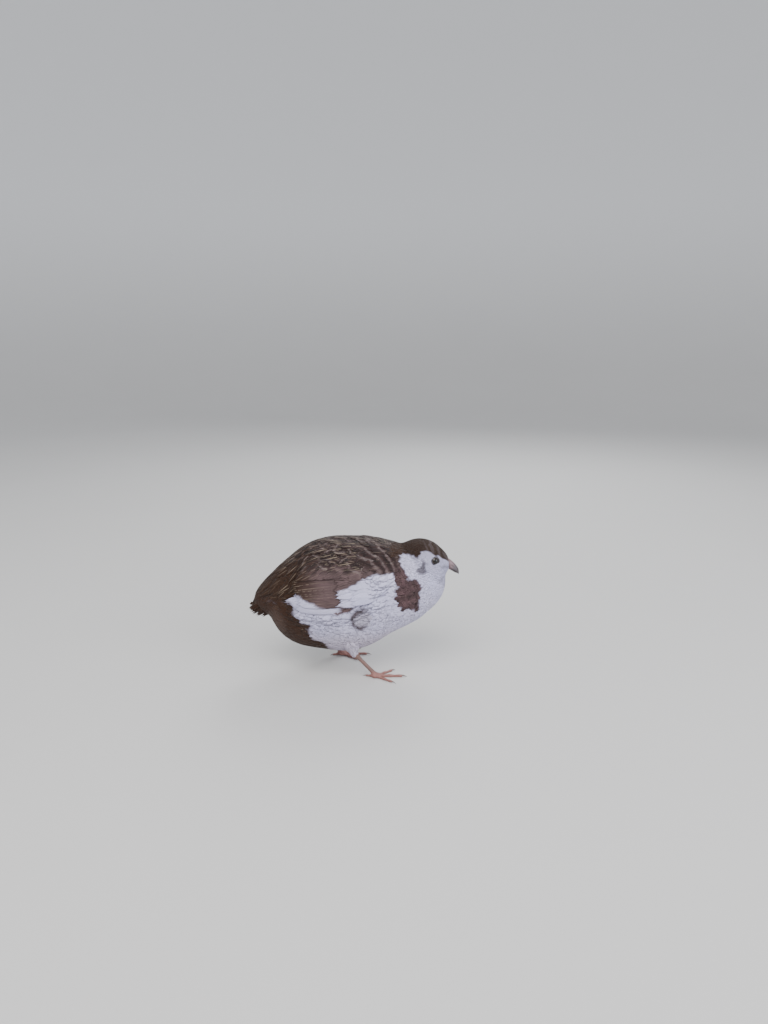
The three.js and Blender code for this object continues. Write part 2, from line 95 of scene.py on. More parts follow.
def body_field(p):
    """Distance to the body's surface and its gradient, for points (N, 3)."""
    distance = gradient = None
    for (cx, cz), (a, b, c), pitch, blend in FORMS:
        cos, sin = math.cos(math.radians(pitch)), math.sin(math.radians(pitch))
        x, z = p[:, 0] - cx, p[:, 2] - cz
        qx, qy, qz = x * cos + z * sin, p[:, 1], z * cos - x * sin
        near = np.sqrt((qx / a) ** 2 + (qy / b) ** 2 + (qz / c) ** 2)
        gx, gy, gz = qx / a**2, qy / b**2, qz / c**2
        slope = np.maximum(np.sqrt(gx**2 + gy**2 + gz**2), 1e-9)
        d = near * (near - 1) / slope
        g = np.stack([gx * cos - gz * sin, gy, gx * sin + gz * cos], -1) / slope[:, None]
        if distance is None:
            distance, gradient = d, g
            continue
        h = np.clip(blend - np.abs(distance - d), 0, None) / blend
        share = np.where(distance < d, h / 2, 1 - h / 2)[:, None]
        gradient = gradient * (1 - share) + g * share
        distance = np.minimum(distance, d) - h * h * blend / 4
    return distance, unit(gradient)


def settle(p, lift=0.0, field=body_field, steps=4):
    """The points at a given height over a surface that are nearest to p."""
    shape = p.shape
    q = p.reshape(-1, 3).copy()
    lift = np.broadcast_to(lift, shape[:-1]).reshape(-1)
    for _ in range(steps):
        d, g = field(q)
        q -= g * (d - lift)[:, None]
    return q.reshape(shape)


def core_height(x):
    """Height of the line inside the body that the surface is measured from."""
    head = np.clip((x - 20) / (HEAD_X - 20), 0, 1)
    return 66 + 18 * head**1.3 + 3 * np.clip((-20 - x) / 38, 0, 1)


def march(origin, direction):
    """Where rays from inside the body leave it."""
    t = np.zeros(len(origin))
    for _ in range(60):
        t -= 0.6 * body_field(origin + direction * t[:, None])[0]
    return origin + direction * t[:, None]


# The surface as a grid from the tail's pole to the head's. The unwrap and the lie of the coat follow it.

FAN, SECTIONS, AROUND = 30, 130, 192


def surface_grid():
    phi = ring_turns(AROUND)
    side = np.stack([np.zeros(AROUND), np.sin(phi), np.cos(phi)], -1)
    leans = np.linspace(-math.pi / 2 + 0.02, 0, FAN, endpoint=False)
    rows = [(TAIL_X, lean) for lean in leans]
    rows += [(x, 0.0) for x in np.linspace(TAIL_X, HEAD_X, SECTIONS)]
    rows += [(HEAD_X, -lean) for lean in leans[::-1]]
    points = []
    for x, lean in rows:
        end = TAILWARD if lean < 0 else np.array([1.0, 0, 0])
        direction = unit(math.cos(lean) * side + abs(math.sin(lean)) * end)
        origin = np.tile([x, 0, core_height(x)], (AROUND, 1))
        points.append(march(origin, direction))
    return np.array(points)


GRID = surface_grid()
STEP = np.linalg.norm(np.diff(GRID, axis=0), axis=2).mean(1)
ALONG = np.concatenate([[0], np.cumsum(STEP)]) / STEP.sum()
GRID_TREE = kdtree.KDTree(GRID.shape[0] * GRID.shape[1])
for n, point in enumerate(GRID.reshape(-1, 3)):
    GRID_TREE.insert(point, n)
GRID_TREE.balance()


def unwrap(p):
    """Where points lie on the unwrap of the body: (around, along), each from 0 to 1."""
    found = np.array([GRID_TREE.find(Vector(q))[1] for q in p])
    i, j = found // AROUND, found % AROUND
    nearest = GRID[i, j]
    ahead = GRID[np.minimum(i + 1, len(GRID) - 1), j] - GRID[np.maximum(i - 1, 0), j]
    across = GRID[i, (j + 1) % AROUND] - GRID[i, j - 1]
    gap = p - nearest
    di = np.einsum("ij,ij->i", gap, ahead) / np.maximum(np.einsum("ij,ij->i", ahead, ahead), 1e-9) * 2
    dj = np.einsum("ij,ij->i", gap, across) / np.maximum(np.einsum("ij,ij->i", across, across), 1e-9) * 2
    v = np.interp(i + np.clip(di, -0.5, 0.5), np.arange(len(GRID)), ALONG)
    u = ((j + np.clip(dj, -0.5, 0.5)) / AROUND) % 1
    return np.stack([u, v], -1)


# Colours and markings, the same for the skin and the coat

WHITE = np.array([0.57, 0.555, 0.77])
CREAM = np.array([0.57, 0.54, 0.70])
BELLY = np.array([0.575, 0.51, 0.62])
BACK = np.array([0.042, 0.022, 0.021])
BACK_DARK = np.array([0.012, 0.006, 0.006])
BACK_PALE = np.array([0.205, 0.162, 0.156])
WING_BROWN = np.array([0.106, 0.068, 0.069])
RUMP = np.array([0.036, 0.016, 0.008])
VENT = np.array([0.041, 0.017, 0.009])
VENT_PALE = np.array([0.075, 0.043, 0.032])
CAP = np.array([0.039, 0.018, 0.011])
CAP_PALE = np.array([0.110, 0.080, 0.080])
PATCH = np.array([0.075, 0.042, 0.046])
RING_RIM = np.array([0.100, 0.080, 0.095])
RING_MIDDLE = np.array([0.34, 0.30, 0.345])
EAR = np.array([0.110, 0.098, 0.120])
BUFF = (0.44, 0.35, 0.26, 1)
DARK = (0.016, 0.010, 0.009, 1)
# Edges of the markings on the right side, in the side view: where each is known, and how far it reaches there
BACK_EDGE = (
    [-56, -51, -45, -40, -35, -26, -15, -12, 0, 8, 16, 32, 46],
    [66, 69, 75, 73.5, 71, 67, 66, 79, 85, 88, 92.5, 90.5, 85],
)
CAP_EDGE = [34, 50, 52.5, 56, 63, 69, 75, 80], [103, 102.3, 104.5, 105, 103.2, 101, 96.5, 94]
NAPE_EDGE = [84, 90, 95, 99, 103], [46, 42.5, 40, 37.5, 36.5]
VENT_EDGE = [17, 25, 30, 35, 43, 50, 54, 58, 66], [-14, -19, -22, -30, -34, -36, -41, -46, -47]
RING = (8, 56)  # middle of the ring on the flank, as (x, z)


def ripple(p, wave, phase):
    """Soft unevenness from -1 to 1 that wanders over the body."""
    total = np.zeros(len(p))
    for k, heading in enumerate([(1, 0.3, 0.6), (-0.5, 0.9, 0.7), (0.8, -0.7, 0.2), (0.2, 0.5, -1.1)]):
        total += np.sin(p @ heading * 2 * np.pi / (wave * (1 + 0.31 * k)) + phase * (k + 1))
    return total / 3


def blob(x, z, centre, radii, turn=0.0):
    """Height in mm inside an ellipse of the side view, negative outside."""
    c, s = math.cos(math.radians(turn)), math.sin(math.radians(turn))
    dx, dz = x - centre[0], z - centre[1]
    near = np.hypot((dx * c + dz * s) / radii[0], (dz * c - dx * s) / radii[1])
    return (1 - near) * min(radii)


def within(height, soft=0.8):
    """How much lies inside an edge, from 0 to 1, by the height in mm inside it."""
    return smooth(-soft, soft, height)


FOLD_CENTRE = 80  # height of the middle of the arcs, over x = 0
FOLD_ARC, FOLD_GAP = 30, 5.6  # radius of one arc, and the distance from arc to arc


def fold(p):
    """Arcs of lifted feathers before the shoulder, where the stretched neck bunches the mantle.

    Returns how near a point is to the crest of an arc, and how much arcs show there, both 0 to 1. back_paint
    paints the crests pale and the troughs dark from these, as painted light and shade."""
    r = np.hypot(p[:, 0], p[:, 2] - FOLD_CENTRE) + 0.9 * ripple(p, 13, 4.0)
    turn = np.arctan2(p[:, 2] - FOLD_CENTRE, p[:, 0])
    crest = 0.5 + 0.5 * np.cos((r - FOLD_ARC) / FOLD_GAP * 2 * np.pi)
    shown = smooth(17, 24, r) * smooth(44, 38, r) * smooth(0.0, 0.3, turn) * smooth(1.6, 1.2, turn)
    off_middle = 0.3 + 0.7 * smooth(5, 15, np.abs(p[:, 1]))  # the arcs fade on top of the back
    return crest, shown * off_middle


def scallops(p):
    """Broad feathers of the back, as marks on finer vanes: strengths of their pale rims and dark middles."""
    row, column = 6.4, 6.8  # mm from feather to feather, along the body and around it
    along = 2.0 * ripple(p, 31, 2.0) - p[:, 0]
    around = np.arctan2(p[:, 1], p[:, 2] - 66) * 36 + 1.5 * ripple(p, 27, 5.0)
    pale, dark = np.zeros((2, len(p)))
    for ahead, beside in product((1, 0, -1), (-1, 0, 1)):
        i = np.floor(along / row) + ahead
        shift = 0.5 * (i % 2)
        j = np.floor(around / column - shift) + beside
        # random values from 0 to 1 that belong to the feather in this row and column
        chance = [np.mod(np.sin(i * 12.99 + j * 78.23 + k * 37.72) * 43758.5, 1) for k in range(6)]
        da = along - (i + 0.5 + 0.5 * (chance[0] - 0.5)) * row
        db = around - (j + 0.5 + shift + 0.5 * (chance[1] - 0.5)) * column
        turn = chance[2] - 0.5
        da, db = da * np.cos(turn) + db * np.sin(turn), db * np.cos(turn) - da * np.sin(turn)
        size = 0.8 + 0.45 * chance[3]
        near = (np.abs(db) / (4.0 * size)) ** 1.6 + (np.maximum(da, 0) / (5.8 * size)) ** 1.8
        inside = (near < 1) & (da > -6)
        rim = smooth(0.62, 0.90, near) * np.where(db > 0, chance[4], chance[5])
        pale = np.where(inside, smooth(0.25, 0.75, rim), pale)
        dark = np.where(inside, smooth(0.65, 0.3, near) * (0.35 + 0.65 * chance[0]), dark)
    return pale, dark


def back_paint(p, x, z):
    """Colour, shaft lines, bars and fringe of the brown from mantle to rump, with the folded wings."""
    upper, rear = smooth(91, 100, z), smooth(-22, -46, x)
    wing_brown = WING_BROWN * (1 + 0.30 * ripple(p, 12, 7.0) * smooth(-40, -10, x))[:, None]
    brown = mix(mix(wing_brown, BACK, upper[:, None]), RUMP, rear[:, None])
    high = p[:, 2] > 82
    pale, dark = np.zeros((2, len(p)))
    pale[high], dark[high] = scallops(p[high])
    crest, folded = fold(p)
    reach = smooth(88, 97, z) * smooth(-66, -50, x) * smooth(38, 30, x)
    broken = 0.65 + 0.45 * ripple(p, 8, 3.3)
    # on the arcs of the fold, pale on the crests is painted light and dark in the troughs between them is
    # painted shade of the creases
    pale = mix(pale * reach * (1 - 0.45 * rear), smooth(0.66, 0.94, crest) * broken, folded)
    dark = mix(dark * reach, smooth(0.5, 0.2, crest) * (1.1 - 0.5 * broken), folded)
    brown = mix(brown, BACK_DARK, 0.9 * np.clip(dark, 0, 1)[:, None])
    brown = mix(brown, BACK_PALE, 0.85 * np.clip(pale, 0, 1)[:, None])
    streak = mix(mix(0.10, 0.85, upper), 0.55 * smooth(-64, -52, x) + 0.15, rear) * (1 - 0.5 * folded)
    fringe = mix(0.03, 0.35, upper) * (1 - 0.8 * rear) * (1 - folded)
    return brown, streak, 0.4 - 0.2 * upper, fringe


def markings(p, rag=1.0):
    """For points of the coat: colour, and strengths of pale shaft line, dark bars, random value, pale fringe.

    rag says how ragged the edges of the markings are."""
    left = smooth(-8, 8, p[:, 1])  # the left side has the same markings, a little shifted
    x = p[:, 0] - 5 * left + rag * ripple(p, 11, 0.4) + rag * 0.6 * ripple(p, 4.6, 2.2)
    z = p[:, 2] + 2.5 * left + rag * ripple(p, 9, 3.1) + rag * 0.6 * ripple(p, 4.1, 5.3)
    white = mix(WHITE, CREAM, (0.35 + 0.35 * ripple(p, 23, 1.0))[:, None])
    white = mix(white, BELLY, 0.8 * smooth(48, 30, p[:, 2])[:, None])
    layers = np.concatenate([white, np.zeros((len(p), 3))], 1)

    def paint(strength, tone, streak=0.0, bars=0.0, fringe=0.0):
        over = np.zeros_like(layers)
        over[:, :3], over[:, 3], over[:, 4], over[:, 5] = tone, streak, bars, fringe
        layers[:] = mix(layers, over, strength[:, None])

    # back and wings, with a tongue of brown down the flank
    back = np.minimum(z - np.interp(x, *BACK_EDGE), np.interp(z, *NAPE_EDGE) - x)
    back = np.maximum(back, blob(x, z, (-8, 65.2), (9, 3.6), 6))
    paint(within(back), *back_paint(p, x, z))

    # under the rump, with pale shafts next to the white
    vent = np.minimum(np.interp(z, *VENT_EDGE) - x, 67.5 - z)
    near_white = np.exp(-(((vent - 3) / 4) ** 2)) * smooth(52, 46, z)
    ragged = vent + rag * 1.1 * ripple(p, 3.8, 2.7)
    paint(within(ragged, 1.6), VENT, 0.12 + 0.8 * near_white, 0.2)
    paler = within(vent) * 0.8 * smooth(-3, 4, blob(x, z, (-62, 47), (8, 13)))
    paint(paler, VENT_PALE, 0.10, 0.2)

    # cap, striped in front
    cap = np.minimum(z - np.interp(x, *CAP_EDGE), x - 30)
    cap = np.maximum(cap, blob(x, z, (52.6, 103), (3.2, 2.8)))
    stripe = smooth(-0.2, 0.8, np.cos((x + 0.5 * z) / 3.9 * 2 * np.pi)) * smooth(55, 61, x)
    paint(within(cap), mix(CAP, CAP_PALE, 0.85 * stripe[:, None]), 0.12, 0.6, 0.15)

    # patch on the side of the breast, with a point below and a neck above
    patch = blob(x, z, (44.5 - 2 * left, 73.5), (10.5, 14), 8)
    patch = np.maximum(patch, blob(x, z, (50.8, 61), (2.1, 5.6), -8))
    patch = np.maximum(patch, blob(x, z, (39, 86), (6, 9), 30)) + 0.9 * rag * ripple(p, 3.4, 0.9)
    paint(within(patch), PATCH * (1 + 0.45 * ripple(p, 5.5, 1.3))[:, None], 0.10, 0.35, 0.12)

    # ear, and a faint grey on the throat under the bill, which is painted shade
    ear = np.maximum(blob(x, z, (55.0, 90.5), (3.7, 2.1), -8), blob(x, z, (56.5, 93.8), (1.9, 4.2), -10))
    paint(within(ear, 0.9) * 0.9, EAR)
    # painted shade under the bill
    paint(within(blob(x, z, (71.5, 81), (2.0, 2.8), -30), 1.5) * 0.35, EAR)

    # grey ring on the near flank, open in front
    from_ring = np.hypot(x - RING[0], (z - RING[1]) / 1.05)
    near_side = (1 - left) * (p[:, 1] < -10)
    paint(near_side * smooth(8.6, 5.6, from_ring) * 0.6, RING_MIDDLE)
    rim = np.exp(-(((from_ring - 7.6) / 1.9) ** 2)) * smooth(6.5, -2.0, x - RING[0])
    paint(near_side * np.clip(rim * 1.25, 0, 1), RING_RIM)

    # thin line back from the corner of the bill
    paint(np.exp(-((z - 91.3 + 0.25 * (x - 74)) ** 2)) * smooth(68, 74, x) * 0.5, EAR)
    chance = np.full(len(p), 0.5)
    return layers[:, :3], np.stack([layers[:, 3], layers[:, 4], chance, layers[:, 5]], -1)


# Meshes


def add_piece(
    name, points, faces, material, slot, replaced, tint, marks, bake=None, vane=None, smooth_face=True
):
    """One piece of the bird from arrays, which takes the place of the CAD nodes in replaced.

    faces is a list of (M, k) index arrays. tint and marks are values per point, and the two UV maps are per
    point or per corner."""
    mesh = bpy.data.meshes.new(name)
    mesh.vertices.add(len(points))
    mesh.vertices.foreach_set("co", (points * MM).astype(np.float32).ravel())
    corners = np.concatenate([f.ravel() for f in faces])
    sizes = np.concatenate([np.full(len(f), f.shape[1]) for f in faces])
    mesh.loops.add(len(corners))
    mesh.loops.foreach_set("vertex_index", corners.astype(np.int32))
    mesh.polygons.add(len(sizes))
    mesh.polygons.foreach_set("loop_start", np.concatenate([[0], np.cumsum(sizes)[:-1]]).astype(np.int32))
    mesh.polygons.foreach_set("use_smooth", np.ones(len(sizes), bool) & smooth_face)
    for layer_name, values in (("OFBake", bake), ("vane", vane)):
        if values is not None:
            per_corner = values if len(values) == len(corners) else values[corners]
            layer = mesh.uv_layers.new(name=layer_name)
            layer.data.foreach_set("uv", per_corner.astype(np.float32).ravel())
    for layer_name, values in (("tint", tint), ("marks", marks)):
        rgba = np.ones((len(points), 4))
        rgba[:, : values.shape[1]] = values
        layer = mesh.attributes.new(layer_name, "FLOAT_COLOR", "POINT")
        layer.data.foreach_set("color", rgba.astype(np.float32).ravel())
    mesh.update(calc_edges=True)
    mesh.materials.append(material)
    piece = bpy.data.objects.new(name, mesh)
    bpy.context.scene.collection.objects.link(piece)
    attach(piece, "root")
    if replaced:
        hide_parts(*replaced)


# Materials


class Nodes:
    """A short way to write shader nodes."""

    def __init__(self, name):
        self.material = bpy.data.materials.new(name)
        self.material.use_nodes = True
        self.tree = self.material.node_tree
        self.shader = self.tree.nodes["Principled BSDF"]

    def put(self, socket, value):
        if isinstance(value, bpy.types.NodeSocket):
            self.tree.links.new(value, socket)
        else:
            socket.default_value = value

    def add(self, kind, inputs=(), **settings):
        node = self.tree.nodes.new(kind)
        for key, value in settings.items():
            setattr(node, key, value)
        for key, value in dict(inputs).items():
            self.put(node.inputs[key], value)
        return node

    def math(self, operation, a, b=0.0, c=0.0):
        return self.add("ShaderNodeMath", {0: a, 1: b, 2: c}, operation=operation).outputs[0]

    def times(self, a, b):
        return self.math("MULTIPLY", a, b)

    def ramp(self, value, low, high, to_low=0.0, to_high=1.0):
        inputs = {"Value": value, "From Min": low, "From Max": high, "To Min": to_low, "To Max": to_high}
        return self.add("ShaderNodeMapRange", inputs, interpolation_type="SMOOTHSTEP").outputs["Result"]

    def blend(self, share, a, b, mode="MIX"):
        inputs = {0: share, 6: a, 7: b}
        return self.add("ShaderNodeMix", inputs, data_type="RGBA", blend_type=mode).outputs[2]

    def tint(self):
        return self.add("ShaderNodeAttribute", attribute_name="tint").outputs["Color"]

    def marks(self):
        """The four values of the marks: three from the colour and one from its alpha."""
        held = self.add("ShaderNodeAttribute", attribute_name="marks")
        split = self.add("ShaderNodeSeparateColor", {0: held.outputs["Color"]})
        return [*split.outputs, held.outputs["Alpha"]]

    def place(self):
        return self.add("ShaderNodeTexCoord").outputs["Object"]

    def noise(self, vector, scale, detail=3.0, rough=0.55):
        inputs = {"Vector": vector, "Scale": scale, "Detail": detail, "Roughness": rough}
        return self.add("ShaderNodeTexNoise", inputs).outputs["Fac"]

    def vector(self, x, y, z):
        return self.add("ShaderNodeCombineXYZ", {0: x, 1: y, 2: z}).outputs[0]

    def bump(self, height, strength, distance):
        inputs = {"Height": height, "Strength": strength, "Distance": distance}
        self.put(self.shader.inputs["Normal"], self.add("ShaderNodeBump", inputs).outputs[0])

    def finish(self, **values):
        for key, value in values.items():
            self.put(self.shader.inputs[key.replace("_", " ")], value)
        return self.material


def plumage():
    n = Nodes("plumage")
    vane = n.add("ShaderNodeSeparateXYZ", {0: n.add("ShaderNodeUVMap", uv_map="vane").outputs[0]}).outputs
    across, along = n.math("ABSOLUTE", n.math("MULTIPLY_ADD", vane[0], 2.0, -1.0)), vane[1]
    streak, bars, chance, fringe = n.marks()
    seed = n.times(chance, 37.0)
    barb = n.math("MULTIPLY_ADD", across, -0.42, along)
    fibre = n.noise(n.vector(n.times(across, 1.3), n.times(barb, 40.0), seed), 1.0, rough=0.65)
    cloud = n.noise(n.vector(n.times(vane[0], 2.4), n.times(along, 4.0), seed), 1.0)
    # dark bars across the vane, wavy and broken
    wave = n.math("SINE", n.times(n.math("MULTIPLY_ADD", cloud, 0.22, barb), 30.0))
    bar = n.times(n.times(n.ramp(wave, 0.0, 0.75), bars), n.ramp(across, 0.1, 0.35))
    colour = n.blend(n.times(bar, 0.75), n.tint(), DARK)
    # pale chevrons along the barbs, broken by the cloud
    phase = n.math("FRACT", n.math("MULTIPLY_ADD", barb, 3.1, n.times(chance, 3.0)))
    chevron = n.ramp(n.math("ABSOLUTE", n.math("SUBTRACT", phase, 0.5)), 0.17, 0.07)
    chevron = n.times(chevron, n.ramp(across, 0.12, 0.3))
    border = n.times(n.times(chevron, fringe), n.ramp(cloud, 0.42, 0.6))
    # a pale line along the shaft with dark to both sides of it
    beside = n.times(n.ramp(across, 0.6, 0.15), n.times(n.math("ADD", streak, fringe), 0.55))
    colour = n.blend(n.times(beside, n.ramp(along, 0.1, 0.5)), colour, DARK)
    line = n.times(n.ramp(across, 0.15, 0.04), n.times(streak, n.ramp(along, 0.2, 0.55)))
    colour = n.blend(n.times(n.math("MAXIMUM", line, border), 0.85), colour, BUFF)
    # light and shade from barb to barb, from root to tip and from feather to feather
    shade = n.times(n.ramp(fibre, 0.3, 0.7, 0.68, 1.14), n.ramp(along, 0.0, 0.5, 0.92, 1.0))
    shade = n.times(shade, n.math("MULTIPLY_ADD", chance, 0.14, 0.93))
    grey = n.add("ShaderNodeCombineColor", {0: shade, 1: shade, 2: shade}).outputs[0]
    colour = n.blend(1.0, colour, grey, "MULTIPLY")
    n.bump(fibre, 0.5, 0.0002)
    return n.finish(
        Base_Color=colour, Roughness=0.75, Specular_IOR_Level=0.2, Sheen_Weight=0.04, Sheen_Roughness=0.5
    )


def horn():
    n = Nodes("bill_horn")
    grain = n.add("ShaderNodeMapping", {"Vector": n.place(), "Scale": (300, 900, 900)}).outputs[0]
    grain = n.noise(grain, 1.0)
    colour = n.blend(n.ramp(grain, 0.35, 0.7, 0.0, 0.45), n.tint(), (0.10, 0.075, 0.07, 1))
    colour = n.blend(n.times(n.marks()[0], 0.8), colour, (0.045, 0.035, 0.035, 1))
    rough = n.ramp(n.noise(n.place(), 900.0, 4.0), 0.2, 0.8, 0.36, 0.52)
    n.bump(grain, 0.25, 0.0002)
    return n.finish(Base_Color=colour, Roughness=rough, Specular_IOR_Level=0.45)


def scaled_skin():
    n = Nodes("scaled_skin")
    cells = n.add("ShaderNodeTexVoronoi", {"Vector": n.place(), "Scale": 1500.0}, feature="DISTANCE_TO_EDGE")
    crack = n.ramp(cells.outputs["Distance"], 0.0, 0.16)
    cloud = n.noise(n.place(), 260.0, 4.0)
    colour = n.blend(n.ramp(cloud, 0.35, 0.7, 0.0, 0.5), n.tint(), (0.30, 0.155, 0.125, 1))
    colour = n.blend(n.ramp(crack, 0.0, 1.0, 0.45, 0.0), colour, (0.12, 0.065, 0.055, 1))
    n.bump(crack, 0.35, 0.00025)
    return n.finish(Base_Color=colour, Roughness=n.ramp(cloud, 0.2, 0.8, 0.42, 0.62), Specular_IOR_Level=0.4)


def eye_surface():
    """Pupil, rayed iris and dark rim, by the angle out from the pupil's middle, which is the first mark."""
    n = Nodes("eye_surface")
    out, one, two, _ = n.marks()
    rays = n.noise(n.vector(n.times(one, 9.0), n.times(two, 9.0), n.times(out, 1.5)), 1.0)
    iris = n.blend(rays, (0.012, 0.007, 0.006, 1), (0.040, 0.022, 0.015, 1))
    iris = n.blend(n.ramp(out, 0.38, 0.47), iris, (0.006, 0.004, 0.004, 1))
    colour = n.blend(n.ramp(out, 0.30, 0.27), iris, (0.0015, 0.0015, 0.0015, 1))
    return n.finish(Base_Color=colour, Roughness=0.035, Specular_IOR_Level=0.5)


def lid_skin():
    n = Nodes("lid_skin")
    fine = n.noise(n.place(), 1600.0, 4.0)
    colour = n.blend(n.ramp(fine, 0.3, 0.7), n.blend(0.35, n.tint(), (0.03, 0.025, 0.03, 1)), n.tint())
    n.bump(fine, 0.4, 0.0002)
    return n.finish(Base_Color=colour, Roughness=0.5, Specular_IOR_Level=0.35)


def floor_paint():
    n = Nodes("studio_floor")
    height = n.add("ShaderNodeSeparateXYZ", {0: n.place()}).outputs[2]
    colour = n.blend(n.noise(n.place(), 2.5, 4.0), (0.58, 0.57, 0.555, 1), (0.62, 0.61, 0.595, 1))
    colour = n.blend(n.ramp(height, 0.0, 0.9), colour, (0.86, 0.86, 0.86, 1))
    return n.finish(Base_Color=colour, Roughness=0.85)


PLUMAGE = plumage()
HORN = horn()
SCALED_SKIN = scaled_skin()
EYE_SURFACE = eye_surface()
LID_SKIN = lid_skin()

# Vanes

OUTLINES = {  # half width of a vane, as a share of the widest, from its root to its tip
    "contour": ([0, 0.15, 0.35, 0.5, 0.7, 0.85, 0.95, 1.0], [0.30, 0.66, 0.95, 1.0, 0.84, 0.56, 0.28, 0.05]),
    "lock": ([0, 0.3, 0.6, 0.85, 1.0], [0.6, 1.0, 0.92, 0.5, 0.06]),
    "flight": ([0, 0.1, 0.3, 0.6, 0.82, 0.93, 0.98, 1.0], [0.35, 0.75, 0.95, 1.0, 0.86, 0.58, 0.32, 0.08]),
    "loose": ([0, 0.15, 0.35, 0.6, 0.8, 0.92, 1.0], [0.45, 0.8, 1.0, 0.88, 0.60, 0.32, 0.06]),
}
PATCH_SIZE = 0.003  # a feather's patch on the bake map


class Template:
    """The grid of a vane: rows of barbs that slant towards the tip, and a plain underside."""

    def __init__(self, rows, columns, outline, lead):
        self.rows, self.columns = rows, columns
        self.u = np.linspace(-1, 1, columns)
        self.reach = np.linspace(0.06, 1.0, rows) ** 0.92
        self.shaft = np.maximum(self.reach - lead * (1 - self.reach**4), np.linspace(0, 0.02, rows))
        self.half = np.interp(self.reach, *OUTLINES[outline])
        top = np.arange(rows * columns).reshape(rows, columns)
        below = rows * columns + np.arange(rows)
        corners = [
            (top[:-1, :-1], top[:-1, 1:], top[1:, 1:], top[1:, :-1]),
            (top[:-1, 0], top[1:, 0], below[1:], below[:-1]),
            (below[:-1], below[1:], top[1:, -1], top[:-1, -1]),
        ]
        self.quads = np.concatenate([np.stack(corner, -1).reshape(-1, 4) for corner in corners])
        self.on_top = np.arange(len(self.quads)) < (rows - 1) * (columns - 1)
        ends = [(0, top[0, 1:], top[0, :-1]), (-1, top[-1, :-1], top[-1, 1:])]
        self.caps = np.concatenate([np.stack([np.full(columns - 1, below[k]), a, b], -1) for k, a, b in ends])
        self.points = rows * columns + rows


CONTOUR = Template(13, 7, "contour", 0.20)
LOOSE = Template(13, 7, "loose", 0.28)
SMALL = Template(9, 5, "lock", 0.24)
TINY = Template(5, 3, "lock", 0.2)
FLIGHT = Template(26, 9, "flight", 0.07)
COVERT = Template(18, 9, "contour", 0.14)
FINE = Template(9, 5, "contour", 0.24)
FINE_LOOSE = Template(9, 5, "loose", 0.28)


def vane_plan(**values):
    """What lay_vanes needs of each vane, with single numbers spread over all of them.

    root, flow, normal, length, width, low and high (heights at root and tip), fray, camber, roll, curl, and
    straight (1 leaves the body's surface, 0 follows it)."""
    count = len(values["root"])
    return {key: np.full(count, value) if np.ndim(value) == 0 else value for key, value in values.items()}


def plan_between(root, tip, out, **values):
    """The plan of vanes that run from root to tip and face out."""
    flow = unit(tip - root)
    length = np.linalg.norm(tip - root, axis=1)
    return vane_plan(root=root, flow=flow, normal=square_to(out, flow), length=length, **values)


def lay_vanes(template, plan, seed):
    """Points (N, V, 3) and vane coordinates (N, V, 2) of many vanes that follow the body."""
    rng = np.random.default_rng(seed)
    count, rows, columns = len(plan["root"]), template.rows, template.columns
    keys = ("length", "width", "low", "high", "fray", "camber", "roll", "curl", "straight")
    length, width, low, high, fray, camber, roll, curl, straight = (plan[key][:, None, None] for key in keys)
    root, flow, normal = (plan[key][:, None, None, :] for key in ("root", "flow", "normal"))
    u = template.u[None, None, :]
    size = np.abs(u)
    zigzag = np.where(np.arange(rows) % 2, 1.0, -1.0)[None, :, None]
    ragged = 0.7 * rng.uniform(-1, 1, (count, rows, 2)) * fray + 0.3 * fray * zigzag
    by_side = np.where(u < 0, ragged[:, :, :1], ragged[:, :, 1:])
    shaft, ahead = template.shaft[None, :, None], (template.reach - template.shaft)[None, :, None]
    tip_drop = 0.05 * smooth(0.85, 1.0, template.reach)[None, :, None] * size**2
    share = shaft + ahead * size**1.2 * (1 + by_side * size**3) + 0.02 * by_side * size**3 - tip_drop
    along = share * length
    share = np.clip(share, 0, 1.05)
    half = width / 2 * template.half[None, :, None]
    across = half * u * (1 + 0.6 * by_side * size**2)
    lift = mix(low, high, 1 - (1 - np.minimum(share, 1)) ** 2.8)
    lift = lift - camber * half * u**2 * (0.4 + 0.6 * np.sin(np.pi * np.clip(share, 0, 1)))
    lift = lift + 0.004 * width * zigzag * smooth(0.1, 0.5, size)
    lift = lift + roll * u * share + curl * smooth(0.6, 1.05, share)
    flat = root + flow * along[..., None] + np.cross(normal, flow) * across[..., None]
    top, out = flat + normal * lift[..., None], normal
    shaft_line = (slice(None), slice(None), columns // 2)
    if not np.all(straight >= 1):
        top = mix(settle(flat, lift), top, straight[..., None])
        out = body_field(top[shaft_line].reshape(-1, 3))[1].reshape(count, rows, 1, 3)
    thick = np.clip(width * 0.03, 0.04, 0.2) * (1 - 0.8 * share[shaft_line])[..., None]
    below = top[shaft_line] - out[:, :, 0] * thick
    uv = np.stack([np.broadcast_to(u * 0.5 + 0.5, share.shape), share], -1).reshape(count, -1, 2)
    uv_below = np.stack([np.full((count, rows), 0.5), share[shaft_line]], -1)
    return np.concatenate([top.reshape(count, -1, 3), below], 1), np.concatenate([uv, uv_below], 1)


def marked(points, tips, own, streaks, chance, bars=1.0):
    """Colour and marks of vanes, from between each point and its feather's tip. own is the tip's share."""
    place = mix(points, tips[:, None, :], own)
    colour, marks = markings(place.reshape(-1, 3))
    colour = colour.reshape(points.shape)
    marks = marks.reshape(points.shape[:2] + (4,))
    marks[..., 0] *= streaks[:, None]
    marks[..., 1] *= bars
    marks[..., 2] = chance[:, None]
    return colour, marks


